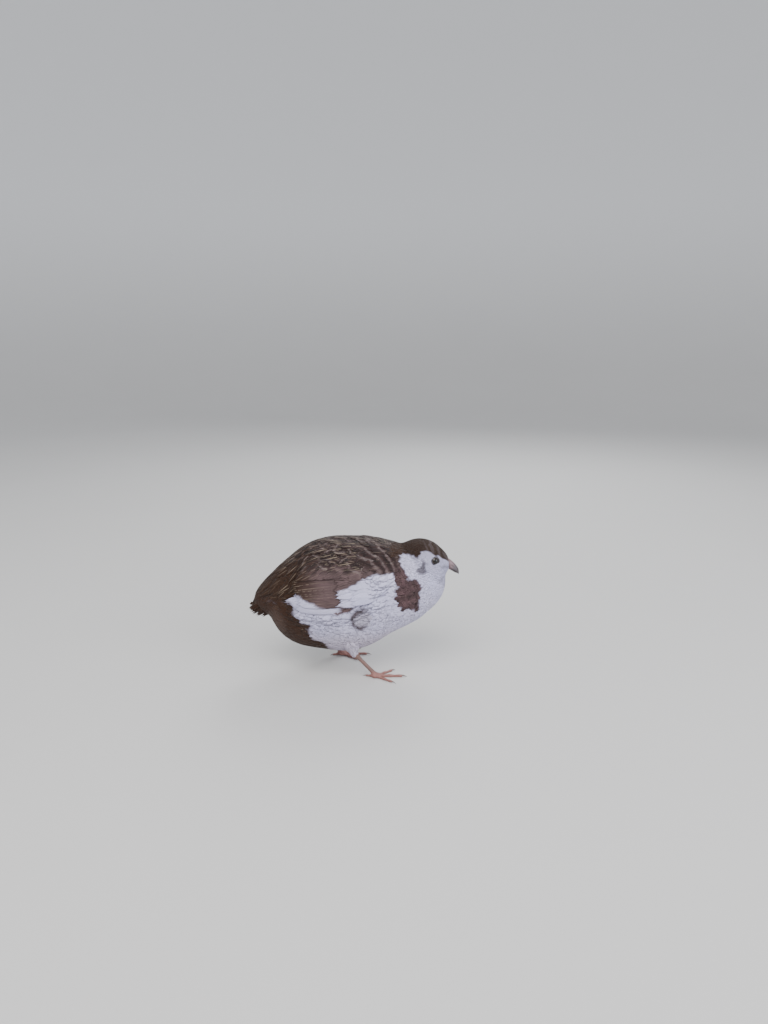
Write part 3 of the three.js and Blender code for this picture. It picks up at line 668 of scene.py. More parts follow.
def vane_piece(name, batches, slot, replaced=()):
    """One piece from batches of vanes: (template, points, vane uv, colour, marks, bake uv of each root)."""
    quads, caps, on_top, columns, start = [], [], [], [], 0
    for template, points, uv, colour, marks, root_uv in batches:
        count = len(points)
        offset = start + np.arange(count)[:, None, None] * template.points
        quads.append((offset + template.quads).reshape(-1, 4))
        caps.append((offset + template.caps).reshape(-1, 3))
        on_top.append(np.tile(template.on_top, count))
        bake = root_uv[:, None, :] + (uv - 0.5) * PATCH_SIZE
        columns.append([values.reshape(-1, values.shape[-1]) for values in (points, colour, marks, bake, uv)])
        start += count * template.points
    faces = [np.concatenate(quads), np.concatenate(caps)]
    smooth_face = np.concatenate([*on_top, np.zeros(len(faces[1]), bool)])
    points, *layers = (np.concatenate(column) for column in zip(*columns))
    add_piece(name, points, faces, PLUMAGE, slot, replaced, *layers, smooth_face)


# Skin

HEAD_EDGE, HEAD_AHEAD = (40, 116), (0.724, 0.69)  # a point (x, z) of the head's hind edge, and the way on
# Measures of the coat, by how far forward of the head's hind edge a feather has its root
COAT_DEPTHS = [-26, -8, 2, 10], [3.0, 2.2, 1.1, 0.55]
FEATHER_LENGTHS = [-45, -24, -9, 0, 5, 11], [13.0, 10.5, 6.6, 4.4, 3.1, 2.1]
FEATHER_GAPS = [-20, -12, -2, 4], [0.178, 0.163, 0.150, 0.142]  # as shares of the length
SMALL_FROM, TINY_FROM = -14, -2  # where feathers with the small and with the tiny template start
CAP_FROM, REAR_FROM = 99.5, -48  # z where the cap starts, and x where the end of the body starts
BACK_UP, BELLY_DOWN = 0.42, -0.55  # how far up the body faces on the back, and down on the belly
BILL_CLEAR, TAIL_CLEAR = 4.2, 6  # how far roots keep from the bill and from the tail's pole
WHITE_OVER = 0.3  # red of the colour above which a feather is a white one


def head_share(p):
    """How far forward of the head's hind edge a point lies, in mm."""
    return (p[:, 0] - HEAD_EDGE[0]) * HEAD_AHEAD[0] + (p[:, 2] - HEAD_EDGE[1]) * HEAD_AHEAD[1]


def coat_depth(p):
    """How far the skin lies below the coat."""
    return np.interp(head_share(p), *COAT_DEPTHS)


def skin_piece(name, points, faces, replaced, bake, rag, shade):
    """A closed skin in the coat's colour, made darker by the factor shade as painted shade under the
    feathers, without the marks of single feathers.
    """
    tint, marks = markings(points, rag)
    marks[:, [0, 1, 3]] = 0
    vane = np.full((len(points), 2), 0.6)
    # tint * shade: the skin is darker than the coat, as painted shade under its feathers
    add_piece(name, points, faces, PLUMAGE, "white_feathers", replaced, tint * shade, marks, bake, vane)


def skin():
    """One closed skin under the coat, with its unwrap from the tail's pole to the head's."""
    n, m = GRID.shape[:2]
    flat = GRID.reshape(-1, 3)
    points = settle(flat, -coat_depth(flat), steps=3)
    points = np.concatenate([points, [points[:m].mean(0), points[-m:].mean(0)]])
    i, j = (index[..., None] for index in np.mgrid[: n - 1, :m])
    i, j = i + [0, 1, 1, 0], j + [0, 0, 1, 1]
    faces = [(i * m + j % m).reshape(-1, 4)]
    uv = [np.stack([j / m, ALONG[i]], -1).reshape(-1, 2)]
    around = np.arange(m)[:, None]
    for row, pole, ahead in ((0, n * m, [0, 1]), (n - 1, n * m + 1, [1, 0])):
        rim = around + ahead
        faces.append(np.concatenate([np.full((m, 1), pole), row * m + rim % m], 1))
        across = np.concatenate([around + 0.5, rim], 1) / m
        uv.append(np.stack([across, np.full((m, 3), ALONG[row])], -1).reshape(-1, 2))
    replaced = ("rump", "torso", "breast", "neck", "head")
    skin_piece("skin", points, faces, replaced, np.concatenate(uv), 0.6, 0.8)


# Small body feathers

EYE = {"x": 65.9, "y": 9.5, "z": 96.6, "radius": 4.3}
BILL = {
    "base": (74.5, 92.6),
    "drop": 33.0,  # degrees below level
    "length": 16.0,
    "width": 6.6,
    "upper": 4.6,  # height of the upper half at its root
    "lower": 2.6,
    "hook": 1.5,  # how far the tip bends down
}


def bill_point(along, across, over):
    """Points of the body from places in the bill's own frame."""
    c, s = math.cos(math.radians(BILL["drop"])), math.sin(math.radians(BILL["drop"]))
    x, z = BILL["base"]
    return np.stack([x + along * c + over * s, across + 0 * along, z - along * s + over * c], -1)


def feather_length(p):
    base = np.interp(head_share(p), *FEATHER_LENGTHS)
    eye = np.linalg.norm(np.abs(p) - [EYE["x"], EYE["y"] + 3, EYE["z"]], axis=1)
    white = smooth(0.25, 0.45, markings(p, 0.0)[0][:, 0]) * smooth(0, -9, head_share(p))
    return base * mix(0.62, 1.0, smooth(3.5, 9.0, eye)) * (1 - 0.23 * white)


def scatter(seed, tries):
    """Roots spread evenly over the body, closer where the feathers are shorter."""
    rng = np.random.default_rng(seed)
    a, b = GRID[:-1], np.roll(GRID, -1, 1)[:-1]
    c, d = GRID[1:], np.roll(GRID, -1, 1)[1:]
    area = np.linalg.norm(np.cross(d - a, b - c), axis=2) / 2
    middle = ((a + b + c + d) / 4).reshape(-1, 3)
    spacing = feather_length(middle) * np.interp(head_share(middle), *FEATHER_GAPS)
    weight = area.ravel() / spacing**2
    cells = rng.choice(len(weight), tries, p=weight / weight.sum())
    s, t = rng.random((2, tries, 1))
    i, j = cells // AROUND, cells % AROUND
    corners = GRID[i, j], GRID[i, (j + 1) % AROUND], GRID[i + 1, j], GRID[i + 1, (j + 1) % AROUND]
    points = mix(mix(corners[0], corners[1], s), mix(corners[2], corners[3], s), t)
    flow = -(mix(corners[2], corners[3], s) - mix(corners[0], corners[1], s))
    reach = spacing[cells]
    tree = kdtree.KDTree(tries)
    for n, point in enumerate(points):
        tree.insert(point, n)
    tree.balance()
    free = np.ones(tries, bool)
    kept = []
    for n in range(tries):
        if free[n]:
            kept.append(n)
            for _, other, _ in tree.find_range(Vector(points[n]), reach[n]):
                free[other] = False
    kept = np.array(kept)
    around = ((j + s[:, 0]) / AROUND) % 1
    along = mix(ALONG[i], ALONG[i + 1], t[:, 0])
    return points[kept], flow[kept], np.stack([around, along], -1)[kept]


# Edges of the folded wing under the coat, in the side view: where each is known, and its height there
WING_EDGE = [-58, -45, -10, 10, 30], [64, 61, 63, 68, 76]
SHOULDER_LOW = [-2, 10, 24, 36], [66, 69, 74, 82]
SHOULDER_HIGH = [-2, 36], [108, 101]
SHOULDER_RISE = 2.0


def wing_cover(p):
    """How much a point of the flank lies along the folded wing's lower edge, which its feathers overlap."""
    edge = np.interp(p[:, 0], *WING_EDGE)
    near = np.exp(-(((p[:, 2] - edge + 2) / 5) ** 2))
    return near * smooth(-50, -36, p[:, 0]) * smooth(36, 24, p[:, 0]) * smooth(14, 24, np.abs(p[:, 1]))


def shoulder(p):
    """How far the fore part of the folded wing lifts the small feathers over it, in mm."""
    low, high = np.interp(p[:, 0], *SHOULDER_LOW), np.interp(p[:, 0], *SHOULDER_HIGH)
    rise = SHOULDER_RISE * (smooth(0, 7, p[:, 2] - low) * smooth(0, -8, p[:, 2] - high))
    return rise * smooth(-6, 5, p[:, 0]) * smooth(40, 28, p[:, 0]) * smooth(14, 22, np.abs(p[:, 1]))


def coat_roots():
    """Roots of the body's feathers, clear of bill, eyes and tail.

    Returns them with their flow, unwrap, the body's normal and their distance from the tail."""
    root, flow, uv = scatter(SEED["scatter"], tries=240000)
    root = settle(root, steps=2)
    from_bill = np.linalg.norm((root - bill_point(3.2, 0.0, 0.4)) * [1, 1, 0.8], axis=1)
    eye_seat = [EYE["x"] + 0.35, EYE["y"] + 3.2, EYE["z"]]
    from_eye = np.linalg.norm((np.abs(root) - eye_seat) * [0.94, 1, 1.06], axis=1)
    from_tail = np.linalg.norm(root - GRID[0].mean(0), axis=1)
    lid_reach = 3.30 + 0.40 * smooth(-1.5, 1.5, root[:, 0] - EYE["x"])
    keep = (from_bill > BILL_CLEAR) & (from_eye > lid_reach) & (from_tail > TAIL_CLEAR)
    return (values[keep] for values in (root, flow, uv, body_field(root)[1], from_tail))


def lie_of_coat(root, flow, normal):
    """Unit directions back along the body, drooping on the flanks and most beside the rump."""
    x, z = root[:, 0], root[:, 2]
    upright = np.abs(normal[:, 1])
    droop = 0.34 * smooth(0.35, 0.9, upright) * smooth(42, 15, x) * smooth(-66, -40, x)
    beside_rump = smooth(-8, -26, x) * smooth(-66, -54, x) * smooth(70, 78, z)
    droop = droop + 0.6 * smooth(0.15, 0.6, upright) * beside_rump
    down = np.array([0, 0, -1.0]) + normal[:, 2:3] * normal
    return unit(square_to(flow, normal) + droop[:, None] * down)


def coat_plan(rng, root, flow, normal, from_tail):
    """What lay_vanes and marked need of the body's feathers.

    Returns the plan and, for each feather, the tip that its marks come from, the strength of its shaft line,
    a random value and how loose it hangs."""
    x, z = root[:, 0], root[:, 2]
    count = len(root)
    head = smooth(-12, 4, head_share(root))
    flow = lie_of_coat(root, flow, normal)
    jitter = (rng.normal(0, 1, count) * mix(0.13, 0.09, head))[:, None]
    flow = unit(flow * np.cos(jitter) + np.cross(normal, flow) * np.sin(jitter))
    chance = rng.random(count)
    streaks = smooth(0.70, 0.80, rng.random(count)) * (0.75 + 0.25 * chance)
    plume = streaks * smooth(36, 28, x) * smooth(0.0, 0.3, normal[:, 2])  # long, narrow and lifted
    loose = smooth(46, 30, z) * smooth(40, 20, x) * (1 - head)
    loose = np.maximum(loose, smooth(-40, -56, x) * smooth(74, 62, z) * 0.9)
    length = feather_length(root) * rng.uniform(0.88, 1.14, count) * (1 + 0.45 * plume) * (1 + 0.30 * head)
    length *= 1 + 0.18 * loose - 0.3 * smooth(16, 6, from_tail)
    slender = mix(mix(0.50, 0.44, loose), 0.22, head)
    width = length * slender * rng.uniform(0.85, 1.15, count) * (1 - 0.42 * plume)
    cover, rise = wing_cover(root), shoulder(root)
    ridge = np.prod(fold(root), axis=0)
    plan = vane_plan(
        root=root,
        flow=flow,
        normal=normal,
        length=length,
        width=width,
        low=-coat_depth(root) * 0.36 * (1 - 0.8 * plume) + 0.6 * cover + rise + 0.3 * ridge,
        high=0.012 * length + 0.010 * rng.normal(0, 1, count) + 0.12 * plume + cover + rise + 0.7 * ridge,
        fray=mix(mix(0.22, 0.34, loose), 0.20, head),
        camber=mix(0.06, 0.05, head),
        roll=rng.normal(0, 0.015, count),
        curl=0.12 * loose * rng.random(count) - 0.03,
        straight=smooth(12, 7, from_tail),
    )
    stray = (mix(0.08, 0.02, head) * length)[:, None]
    tip = root + flow * (0.75 * length)[:, None] + rng.normal(0, 1, (count, 3)) * [1, 0, 1] * stray
    return plan, tip, streaks, chance, loose


def coat_parts(root, normal, loose):
    """Which feathers are in each piece of the coat, and which have each template."""
    x, z, forward = root[:, 0], root[:, 2], head_share(root)
    tiny, large = forward > TINY_FROM, forward <= SMALL_FROM
    small = ~tiny & ~large
    top, belly = normal[:, 2] > BACK_UP, normal[:, 2] < BELLY_DOWN
    rear, right = x < REAR_FROM, root[:, 1] < 0
    flank = large & ~rear & ~top & ~belly
    regions = {
        "cap": tiny & (z > CAP_FROM),
        "face": tiny & (z <= CAP_FROM),
        "neck": small,
        "tail_end": large & rear,
        "back": large & ~rear & top,
        "belly": large & ~rear & belly,
        "flank_right": flank & right,
        "flank_left": flank & ~right,
    }
    pale, hanging = markings(root, 0.0)[0][:, 0] > WHITE_OVER, loose > 0.5
    kinds = (
        (TINY, tiny),
        (SMALL, small),
        (FINE_LOOSE, large & hanging & pale),
        (FINE, large & ~hanging & pale),
        (LOOSE, large & hanging & ~pale),
        (CONTOUR, large & ~hanging & ~pale),
    )
    return regions, kinds


def body_feathers():
    root, flow, uv, normal, from_tail = coat_roots()
    rng = np.random.default_rng(SEED["coat"])
    plan, tip, streaks, chance, loose = coat_plan(rng, root, flow, normal, from_tail)
    regions, kinds = coat_parts(root, normal, loose)
    # a feather's marks lie a little together at its tip, but the ring on the flank is drawn point by point
    own_share = mix(0.12, 0.5, smooth(10, 15, np.hypot(root[:, 0] - RING[0], root[:, 2] - RING[1])))
    for order, (name, chosen) in enumerate(regions.items()):
        batches = []
        for template, member in kinds:
            pick = chosen & member
            if not pick.any():
                continue
            part = {key: value[pick] for key, value in plan.items()}
            points, vane = lay_vanes(template, part, VANE_SEED["coat"] + order)
            own = 0.2 if name == "back" else own_share[pick, None, None]
            colour, marks = marked(points, tip[pick], own, streaks[pick], chance[pick])
            colour *= rng.normal(1, 0.04, (len(points), 1, 1))
            batches.append((template, points, vane, colour, marks, uv[pick]))
        slot = "brown_feathers" if name in ("back", "tail_end") else "white_feathers"
        vane_piece(f"coat_{name}", batches, slot)


# Wings

# Tiers of feathers: count, roots, tips, width, and heights over the body at root and tip. Each runs from its
# lowest feather to its highest, and roots and tips are points (x, z) of the side view.
WING_TIERS = [
    (FLIGHT, 7, [(0, 66), (3, 73)], [(-46, 63), (-59, 69.5)], 6.4, 0.5, 1.5),  # primaries
    (FLIGHT, 12, [(7, 73), (9, 97)], [(-45, 68), (-53, 88)], 7.4, 0.7, 1.9),  # secondaries
    (COVERT, 14, [(17, 73), (18, 100)], [(-11, 68), (-16, 95)], 6.2, 0.9, 2.3),  # greater coverts
    (COVERT, 13, [(21, 74), (21, 101)], [(-2, 70), (-6, 97)], 6.0, 1.0, 2.5),
    (COVERT, 10, [(26, 97), (-26, 99)], [(8, 91), (-47, 87)], 7.0, 1.0, 2.7),  # scapulars
    (COVERT, 10, [(26, 101), (-24, 104)], [(8, 96), (-46, 93)], 7.0, 0.9, 2.6),
    (COVERT, 9, [(24, 105), (-22, 108)], [(7, 101), (-42, 99)], 7.0, 0.5, 2.1),
]


WING_SEAT = 34.0  # distance from the mid plane of the places that are settled on the body


def wing(side):
    """The folded wing in tiers of vanes that follow the body, from the primaries up to the scapulars."""
    rng = np.random.default_rng(SEED["wing"] + side)
    batches = []
    for tier, (template, count, roots, tips, width, low, high) in enumerate(WING_TIERS):
        t = np.linspace(0, 1, count)[:, None]
        ends = []
        for ragged, (a, b) in ((0.3, roots), (1.0, tips)):
            uneven = rng.normal(0, ragged, (count, 2)) * [1, 0.35]
            x, z = (mix(np.array(a, float), np.array(b, float), t) + uneven).T
            seat = np.stack([x, np.full(count, side * WING_SEAT), z], -1)
            ends.append(settle(seat, steps=8))
        root, tip = ends
        plan = plan_between(
            root,
            tip,
            body_field(root)[1],
            width=width * rng.uniform(0.94, 1.1, count),
            low=low,
            high=high + 0.10 * rng.normal(0, 1, count),
            fray=0.06 if template is FLIGHT else 0.13,
            camber=0.05,
            roll=0.14 * side,
            curl=-0.2,
            straight=0.0,
        )
        points, vane = lay_vanes(template, plan, VANE_SEED["wing"] + tier)
        chance = rng.random(count)
        colour, marks = marked(points, mix(root, tip, 0.8), 0.25, np.full(count, 0.55), chance, 0.8)
        colour *= rng.normal(1, 0.05, (count, 1, 1))
        batches.append((template, points, vane, colour, np.clip(marks, 0, 1), unwrap(root)))
    word = SIDE_WORD[side]
    vane_piece(f"wing_feathers_{word}", batches, "brown_feathers", (f"wing_{word}",))


# Tail

TAIL_AXIS = (np.array([-64.0, 0, 68.0]), np.array([-88.5, 0, 52.8]))
TAIL_RECTRICES = 10
TAIL_ABOVE = (0.08, RUMP, [0.55, 0.6, 0.5, 0.1])  # fray, colour and marks of the coverts
TAIL_BELOW = (0.12, VENT, [0.08, 0.2, 0.5, 0.0])
# Rows of coverts: template, count, reach from root to tip along the axis, and radii across and upright at the
# root and at the tip
TAIL_ROWS = [
    (COVERT, 9, (0.30, 0.93), (9.5, 4.2), (5.6, 1.3)),
    (COVERT, 10, (0.16, 0.80), (11.0, 6.2), (7.2, 2.6)),
    (COVERT, 10, (0.02, 0.66), (12.0, 8.0), (8.8, 4.2)),
    (LOOSE, 10, (0.30, 0.99), (9.0, -5.0), (6.0, -4.4)),
    (LOOSE, 11, (0.22, 1.01), (10.5, -8.0), (7.2, -7.8)),
    (LOOSE, 12, (0.10, 0.95), (11.5, -11.3), (8.2, -11.2)),
    (LOOSE, 12, (-0.04, 0.82), (12.2, -14.6), (9.0, -14.0)),
    (LOOSE, 12, (-0.15, 0.62), (12.5, -17.8), (9.6, -16.4)),
]


def tail():
    """Straight tail feathers in a flat fan, and rows of coverts that wrap them from above and below."""
    rng = np.random.default_rng(SEED["tail"])
    start, end = TAIL_AXIS
    span = np.linalg.norm(end - start)
    ahead = (end - start) / span
    up = np.array([ahead[2], 0, -ahead[0]])
    side = np.array([0, 1.0, 0])
    batches = []

    def lay(row, template, root, tip, out, fray, tone, own):
        count, seed = len(root), VANE_SEED["tail"] + row
        plan = plan_between(
            root,
            tip,
            out,
            width=5.6 * rng.uniform(0.93, 1.07, count),
            low=0.0,
            high=0.10 * rng.normal(0, 1, count),
            fray=fray,
            camber=0.22,
            roll=0.05 * rng.normal(0, 1, count),
            curl=-0.6,
            straight=1.0,
        )
        points, vane = lay_vanes(template, plan, seed)
        colour = np.broadcast_to((tone * rng.normal(1.08, 0.06, (count, 1)))[:, None, :], points.shape)
        marks = np.tile(np.array(own), points.shape[:2] + (1,))
        marks[..., 2] = rng.random(count)[:, None]
        spread = np.stack([np.arange(count) * 0.004, np.full(count, 0.0001 * seed)], -1)
        batches.append((template, points, vane, colour, marks, unwrap(settle(root, steps=6)) + spread))

    place = np.linspace(-1, 1, TAIL_RECTRICES)[:, None]
    root = start + ahead * (0.3 * span) + side * (6.5 * place)
    tip = start + ahead * (span * (1.0 - 0.14 * place**2)) + side * (7.5 * place) - up * (2.2 * place**2)
    lay(0, FLIGHT, root, tip, up + side * (0.25 * place), 0.08, RUMP, [0.6, 0.8, 0.5, 0.1])
    for row, (template, count, (s0, s1), (a0, b0), (a1, b1)) in enumerate(TAIL_ROWS, 1):
        turn = (np.linspace(-1.35, 1.35, count) + rng.normal(0, 0.04, count))[:, None]
        wide, high = np.sin(turn), np.cos(turn)
        uneven = rng.normal(0, 0.02, count)[:, None]

        def ring(s, a, b):
            return start + ahead * (s * span) + side * (a * wide) + up * (b * high - 0.5 * (1 - high))

        tip = ring(s1 - 0.10 * wide**2 + uneven, a1, b1)
        out = unit(up * (np.sign(b0) * high / abs(b0)) + side * (wide / a0))
        lay(row, template, ring(s0, a0, b0), tip, out, *(TAIL_ABOVE if b0 > 0 else TAIL_BELOW))
    vane_piece("tail_feathers", batches, "brown_feathers", ("tail",))


# Closed tubes and fields


def tube(rings, loop=False):
    """Points and faces of a closed mesh from rings (R, K, 3); a loop joins its last ring to its first."""
    count, around = rings.shape[:2]
    points = rings.reshape(-1, 3)
    index = np.arange(count * around).reshape(count, around)
    following = np.roll(index, -1, 0) if loop else index[1:]
    index = index if loop else index[:-1]
    quads = [index, np.roll(index, -1, 1), np.roll(following, -1, 1), following]
    quads = np.stack(quads, -1).reshape(-1, 4)
    faces = [quads]
    if not loop:
        points = np.concatenate([points, [rings[0].mean(0), rings[-1].mean(0)]])
        first, last = index[0], following[-1]
        ends = [
            np.stack([np.full(around, count * around), np.roll(first, -1), first], -1),
            np.stack([np.full(around, count * around + 1), last, np.roll(last, -1)], -1),
        ]
        faces.append(np.concatenate(ends))
    a, b, c, d = (points[quads[:, k]] for k in range(4))
    volume = np.einsum("ij,ij->i", a, np.cross(b, c) + np.cross(c, d)).sum()
    return points, faces if volume > 0 else [f[:, ::-1] for f in faces]


def surface_net(field, low, high, step):
    """Points and quads of the surface where a field is zero, inside a box."""
    axes = [np.arange(a, b + step, step) for a, b in zip(low, high)]
    at = np.stack(np.meshgrid(*axes, indexing="ij"), -1)
    value = field(at.reshape(-1, 3)).reshape(at.shape[:3])
    cells = tuple(n - 1 for n in value.shape)
    turns = [np.roll(np.eye(3, dtype=int), -axis, 0) for axis in range(3)]

    def corner(start):
        """The field at each cell's corner, which start names by 0 or 1 along each axis."""
        return value[tuple(slice(s, s + n) for s, n in zip(start, cells))]

    total, crossings = np.zeros(cells + (3,)), np.zeros(cells)
    for (ahead, one, two), b, c in product(turns, (0, 1), (0, 1)):
        start = b * one + c * two
        near, far = corner(start), corner(start + ahead)
        crossed = (near < 0) != (far < 0)
        share = np.where(crossed, near / np.where(crossed, near - far, 1.0), 0)
        total += share[..., None] * ahead + crossed[..., None] * start
        crossings += crossed
    used = crossings > 0
    index = np.full(cells, -1)
    index[used] = np.arange(used.sum())
    points = np.array(low) + (np.argwhere(used) + total[used] / crossings[used][:, None]) * step
    quads = []
    for ahead, one, two in turns:
        edge = np.argwhere((corner([0, 0, 0]) < 0) != (corner(ahead) < 0))
        edge = edge[(edge @ one > 0) & (edge @ two > 0)]
        around = [edge - b * one - c * two for b, c in ((1, 1), (0, 1), (0, 0), (1, 0))]
        quad = np.stack([index[tuple(cell.T)] for cell in around], -1)
        quads.append(np.where(value[tuple(edge.T)][:, None] < 0, quad, quad[:, ::-1]))
    return points, np.concatenate(quads)


def with_slope(field, reach=0.02):
    """The field together with its gradient, found by small steps."""

    def both(p):
        slope = [field(p + reach * axis) - field(p - reach * axis) for axis in np.eye(3)]
        return field(p), unit(np.stack(slope, -1))

    return both


# Eyes and lids


def eye_frame(side):
    """The eyeball's middle, and unit directions out of it, ahead and up."""
    centre = np.array([EYE["x"], side * EYE["y"], EYE["z"]])
    seat = settle((centre + [0, side * 3.0, 0])[None], 0.0, steps=6)[0]
    axis = unit(mix(unit(seat - centre), body_field(seat[None])[1][0], 0.5))
    ahead = unit(np.array([1.0, 0, -0.25]) - axis * (axis @ np.array([1.0, 0, -0.25])))
    up = np.cross(axis, ahead)
    up = up * np.sign(up[2])
    return centre, axis, ahead, up


def eye(side):
    """The eyeball, with the bulge of its cornea."""
    centre, axis, ahead, up = eye_frame(side)
    away = np.radians(np.linspace(1.2, 178.8, 44))[:, None, None]
    turn = ring_turns(48)[None, :, None]
    radius = EYE["radius"] - 0.12 + 0.22 * smooth(math.radians(44), 0, away)  # with the cornea's bulge
    round_about = ahead * np.cos(turn) + up * np.sin(turn)
    points, faces = tube(centre + radius * (axis * np.cos(away) + round_about * np.sin(away)))
    gap = unit(points - centre)
    out = np.degrees(np.arccos(np.clip(gap @ axis, -1, 1))) / 90
    flat = np.stack([out, 0.5 + 0.5 * (gap @ ahead), 0.5 + 0.5 * (gap @ up)], -1)
    word = SIDE_WORD[side]
    add_piece(f"eyeball_{word}", points, faces, EYE_SURFACE, "eye", (f"eye_{word}",), flat, flat)


# Section of a lid: degrees out from its rim, mm from the eyeball's middle, and how far from the dark rim
LID_PROFILE = [
    (0, 4.28, 0),
    (1.2, 4.46, 1),
    (3.5, 4.62, 2),
    (6.5, 4.66, 3),
    (9, 4.58, 5),
    (12, 4.62, 6),
    (16, 4.64, 6),
    (21, 4.55, 6),
    (28, 4.45, 6),
    (33, 4.15, 6),
    (26, 3.85, 6),
    (10, 3.80, 6),
    (1, 4.05, 1),
]


def lids(side):
    """The lids as one ring round the eye, pinched at the corners."""
    centre, axis, ahead, up = eye_frame(side)
    turn = ring_turns(96)[:, None]
    lean = turn + 0.35  # the corners lie on a line that falls towards the bill
    opening = 38.5 + 7.5 * np.abs(np.cos(lean)) ** 3 - 3.0 * np.clip(np.sin(lean), 0, 1) + 1.0 * np.cos(lean)
    away, radius, from_rim = np.array(LID_PROFILE).T
    away = np.radians(opening + away)[..., None]
    corner = np.exp(-(((np.abs(np.cos(lean)) - 1) / 0.035) ** 2))
    outer = radius > 4.6
    radius = radius + outer * (0.05 * np.sin(31 * turn) + 0.035 * np.sin(57 * turn + 1) - 0.22 * corner)
    around = (ahead * np.cos(turn) + up * np.sin(turn))[:, None, :]
    outward = axis * np.cos(away) + around * np.sin(away)
    points, faces = tube(centre + radius[..., None] * outward, loop=True)
    rim = np.tile(np.exp(-from_rim / 1.6), len(turn))[:, None]
    # dark towards the rim; the darkness of the whole lid is partly the lid's own colour and partly painted
    # shade round the eye
    tint = mix(np.array([0.115, 0.105, 0.125]), np.array([0.035, 0.030, 0.036]), rim)
    add_piece(f"lids_{SIDE_WORD[side]}", points, faces, LID_SKIN, "leg_skin", (), tint, tint)


# Bill

MOUTH_GAP = 0.15
BILL_FLESH, BILL_GREY = np.array([0.235, 0.160, 0.178]), np.array([0.122, 0.108, 0.130])


def bill_rings(steps, upper):
    """Sections of one mandible in the bill's frame: along, across, over."""
    rows = []
    scale, facing = (1.0, 1) if upper else (0.93, -1)
    angle = np.linspace(0, facing * np.pi, 33)
    for step in steps:
        s = step * scale
        slim = math.sqrt(max(1 - step**2.2, 0.012))
        half = BILL["width"] / 2 * slim * scale
        edge = -BILL["hook"] * s * s - 0.45 + facing * MOUTH_GAP
        if upper:
            across = half * np.sign(np.cos(angle)) * np.abs(np.cos(angle)) ** 0.92
            over = edge + 0.25 + (BILL["upper"] * slim + 0.05) * np.sin(angle) ** 0.94
            rim, shelf, roof, drop = 0.99, 0.12, 0.35 * slim, 0.35 * smooth(0.82, 1.0, step)
        else:
            across = half * np.cos(angle)
            over = edge - 0.12 + max(BILL["lower"] * slim - 0.6, 0.14) * np.sin(angle)
            rim, shelf, roof, drop = 0.98, -0.15, -0.4 * slim, 0
        across = np.concatenate([across, half * np.array([-rim, -0.72, 0, 0.72, rim])])
        over = np.concatenate([over, edge + np.array([0, shelf, roof, shelf, 0])])
        rows.append(np.column_stack([np.full(len(over), s * BILL["length"]), across, over - drop]))
    return np.array(rows)


def bill():
    """Both halves of the bill, the upper one with its nostrils."""
    steps = np.concatenate([np.linspace(0.08, 0.86, 46), np.linspace(0.875, 1.0, 14)])
    for name, upper in (("upper", True), ("lower", False)):
        along, beside, over = np.moveaxis(bill_rings(steps, upper), -1, 0)
        across = beside
        s = along / BILL["length"]
        side = np.sign(across) * smooth(0.4, 1.5, np.abs(across))
        slit = np.zeros_like(along)
        if upper:  # the nostril's slit under its lid, and the ridge along the top
            lid = np.exp(-(((along - 6.9) / 1.9) ** 2) - ((over - 2.35) / 0.85) ** 2)
            slit = np.exp(-(((along - 7.3) / 1.4) ** 2) - ((over - 1.45 + 0.12 * (along - 7.3)) / 0.26) ** 2)
            across = across + side * (0.38 * lid - 0.5 * slit)
            over = over + 0.12 * smooth(0.35, 0.0, np.abs(beside)) * smooth(0.5, 2.0, over)
        rough = 0.03 * np.sin(along * 5.1 + over * 2.0) * smooth(0.2, 0.5, s)
        points, faces = tube(bill_point(along, across + side * rough, over))
        tint = mix(BILL_FLESH, BILL_GREY, smooth(0.40, 0.66, s)[..., None])
        # dark towards the tip, the lower half darker all over, and the nostril's slit dark as painted shade
        # of its opening
        dark = np.clip(0.86 * smooth(0.34, 0.88, s) + (0 if upper else 0.35) + slit, 0, 1)
        marks = np.stack([dark, 0 * dark, 0 * dark], -1)
        layers = [np.concatenate([a.reshape(-1, 3), [a[0].mean(0), a[-1].mean(0)]]) for a in (tint, marks)]
        add_piece(f"bill_{name}_horn", points, faces, HORN, "horn", (f"bill_{name}",), *layers)


# Legs

SHANK = {"x": 1.0, "y": 21.0, "z": 20.5, "reach": 17.0}
STEP_FORWARD = {RIGHT: 0.0, LEFT: -30.0}
ANKLE_HEIGHT = 2.34
SHANK_RADII = [0, 0.12, 0.32, 0.72, 0.9, 1.0], [2.15, 1.95, 1.5, 1.5, 1.75, 1.95]  # from the hock down
SHANK_PLATE, TOE_PLATE = 1.45, 1.3  # mm from scale to scale
PAD_MIDDLE, PAD_RADII = 1.75, [3.7, 3.5, 2.0]  # its height over the floor, under the ankle
TOES = {  # turn in degrees, length, thickness, claw
    "inner": (38, 17.0, 2.4, 4.2),
    "middle": (1, 21.5, 2.7, 4.8),
    "outer": (-36, 16.5, 2.4, 4.2),
    "hind": (168, 7.5, 2.1, 3.0),
}
SHANK_FLESH, TOE_FLESH = np.array([0.185, 0.112, 0.096]), np.array([0.33, 0.150, 0.130])
SOLE_FLESH = np.array([0.25, 0.15, 0.13])
NET_STEP = 0.36


def leg_frame(side):
    """Places of the knee, the hock and the ankle."""
    x = SHANK["x"] + STEP_FORWARD[side]
    hock = np.array([x, side * SHANK["y"], SHANK["z"]])
    ankle = np.array([x + SHANK["reach"], side * (SHANK["y"] + 1), ANKLE_HEIGHT])
    knee = hock + [-5, side * -2, 16]
    return knee, hock, ankle


def toe_frame(side, turn):
    """Unit directions along a toe and across it."""
    heading = math.radians(turn * -side)
    run = np.array([math.cos(heading), math.sin(heading), 0])
    return run, np.array([-run[1], run[0], 0])


def cone(p, a, b, ra, rb):
    """Distance to a rounded cone between two points, and how far along it is, from 0 to 1."""
    line = b - a
    h = np.clip((p - a) @ line / (line @ line), 0, 1)
    return np.linalg.norm(p - a - h[:, None] * line, axis=1) - mix(ra, rb, h), h


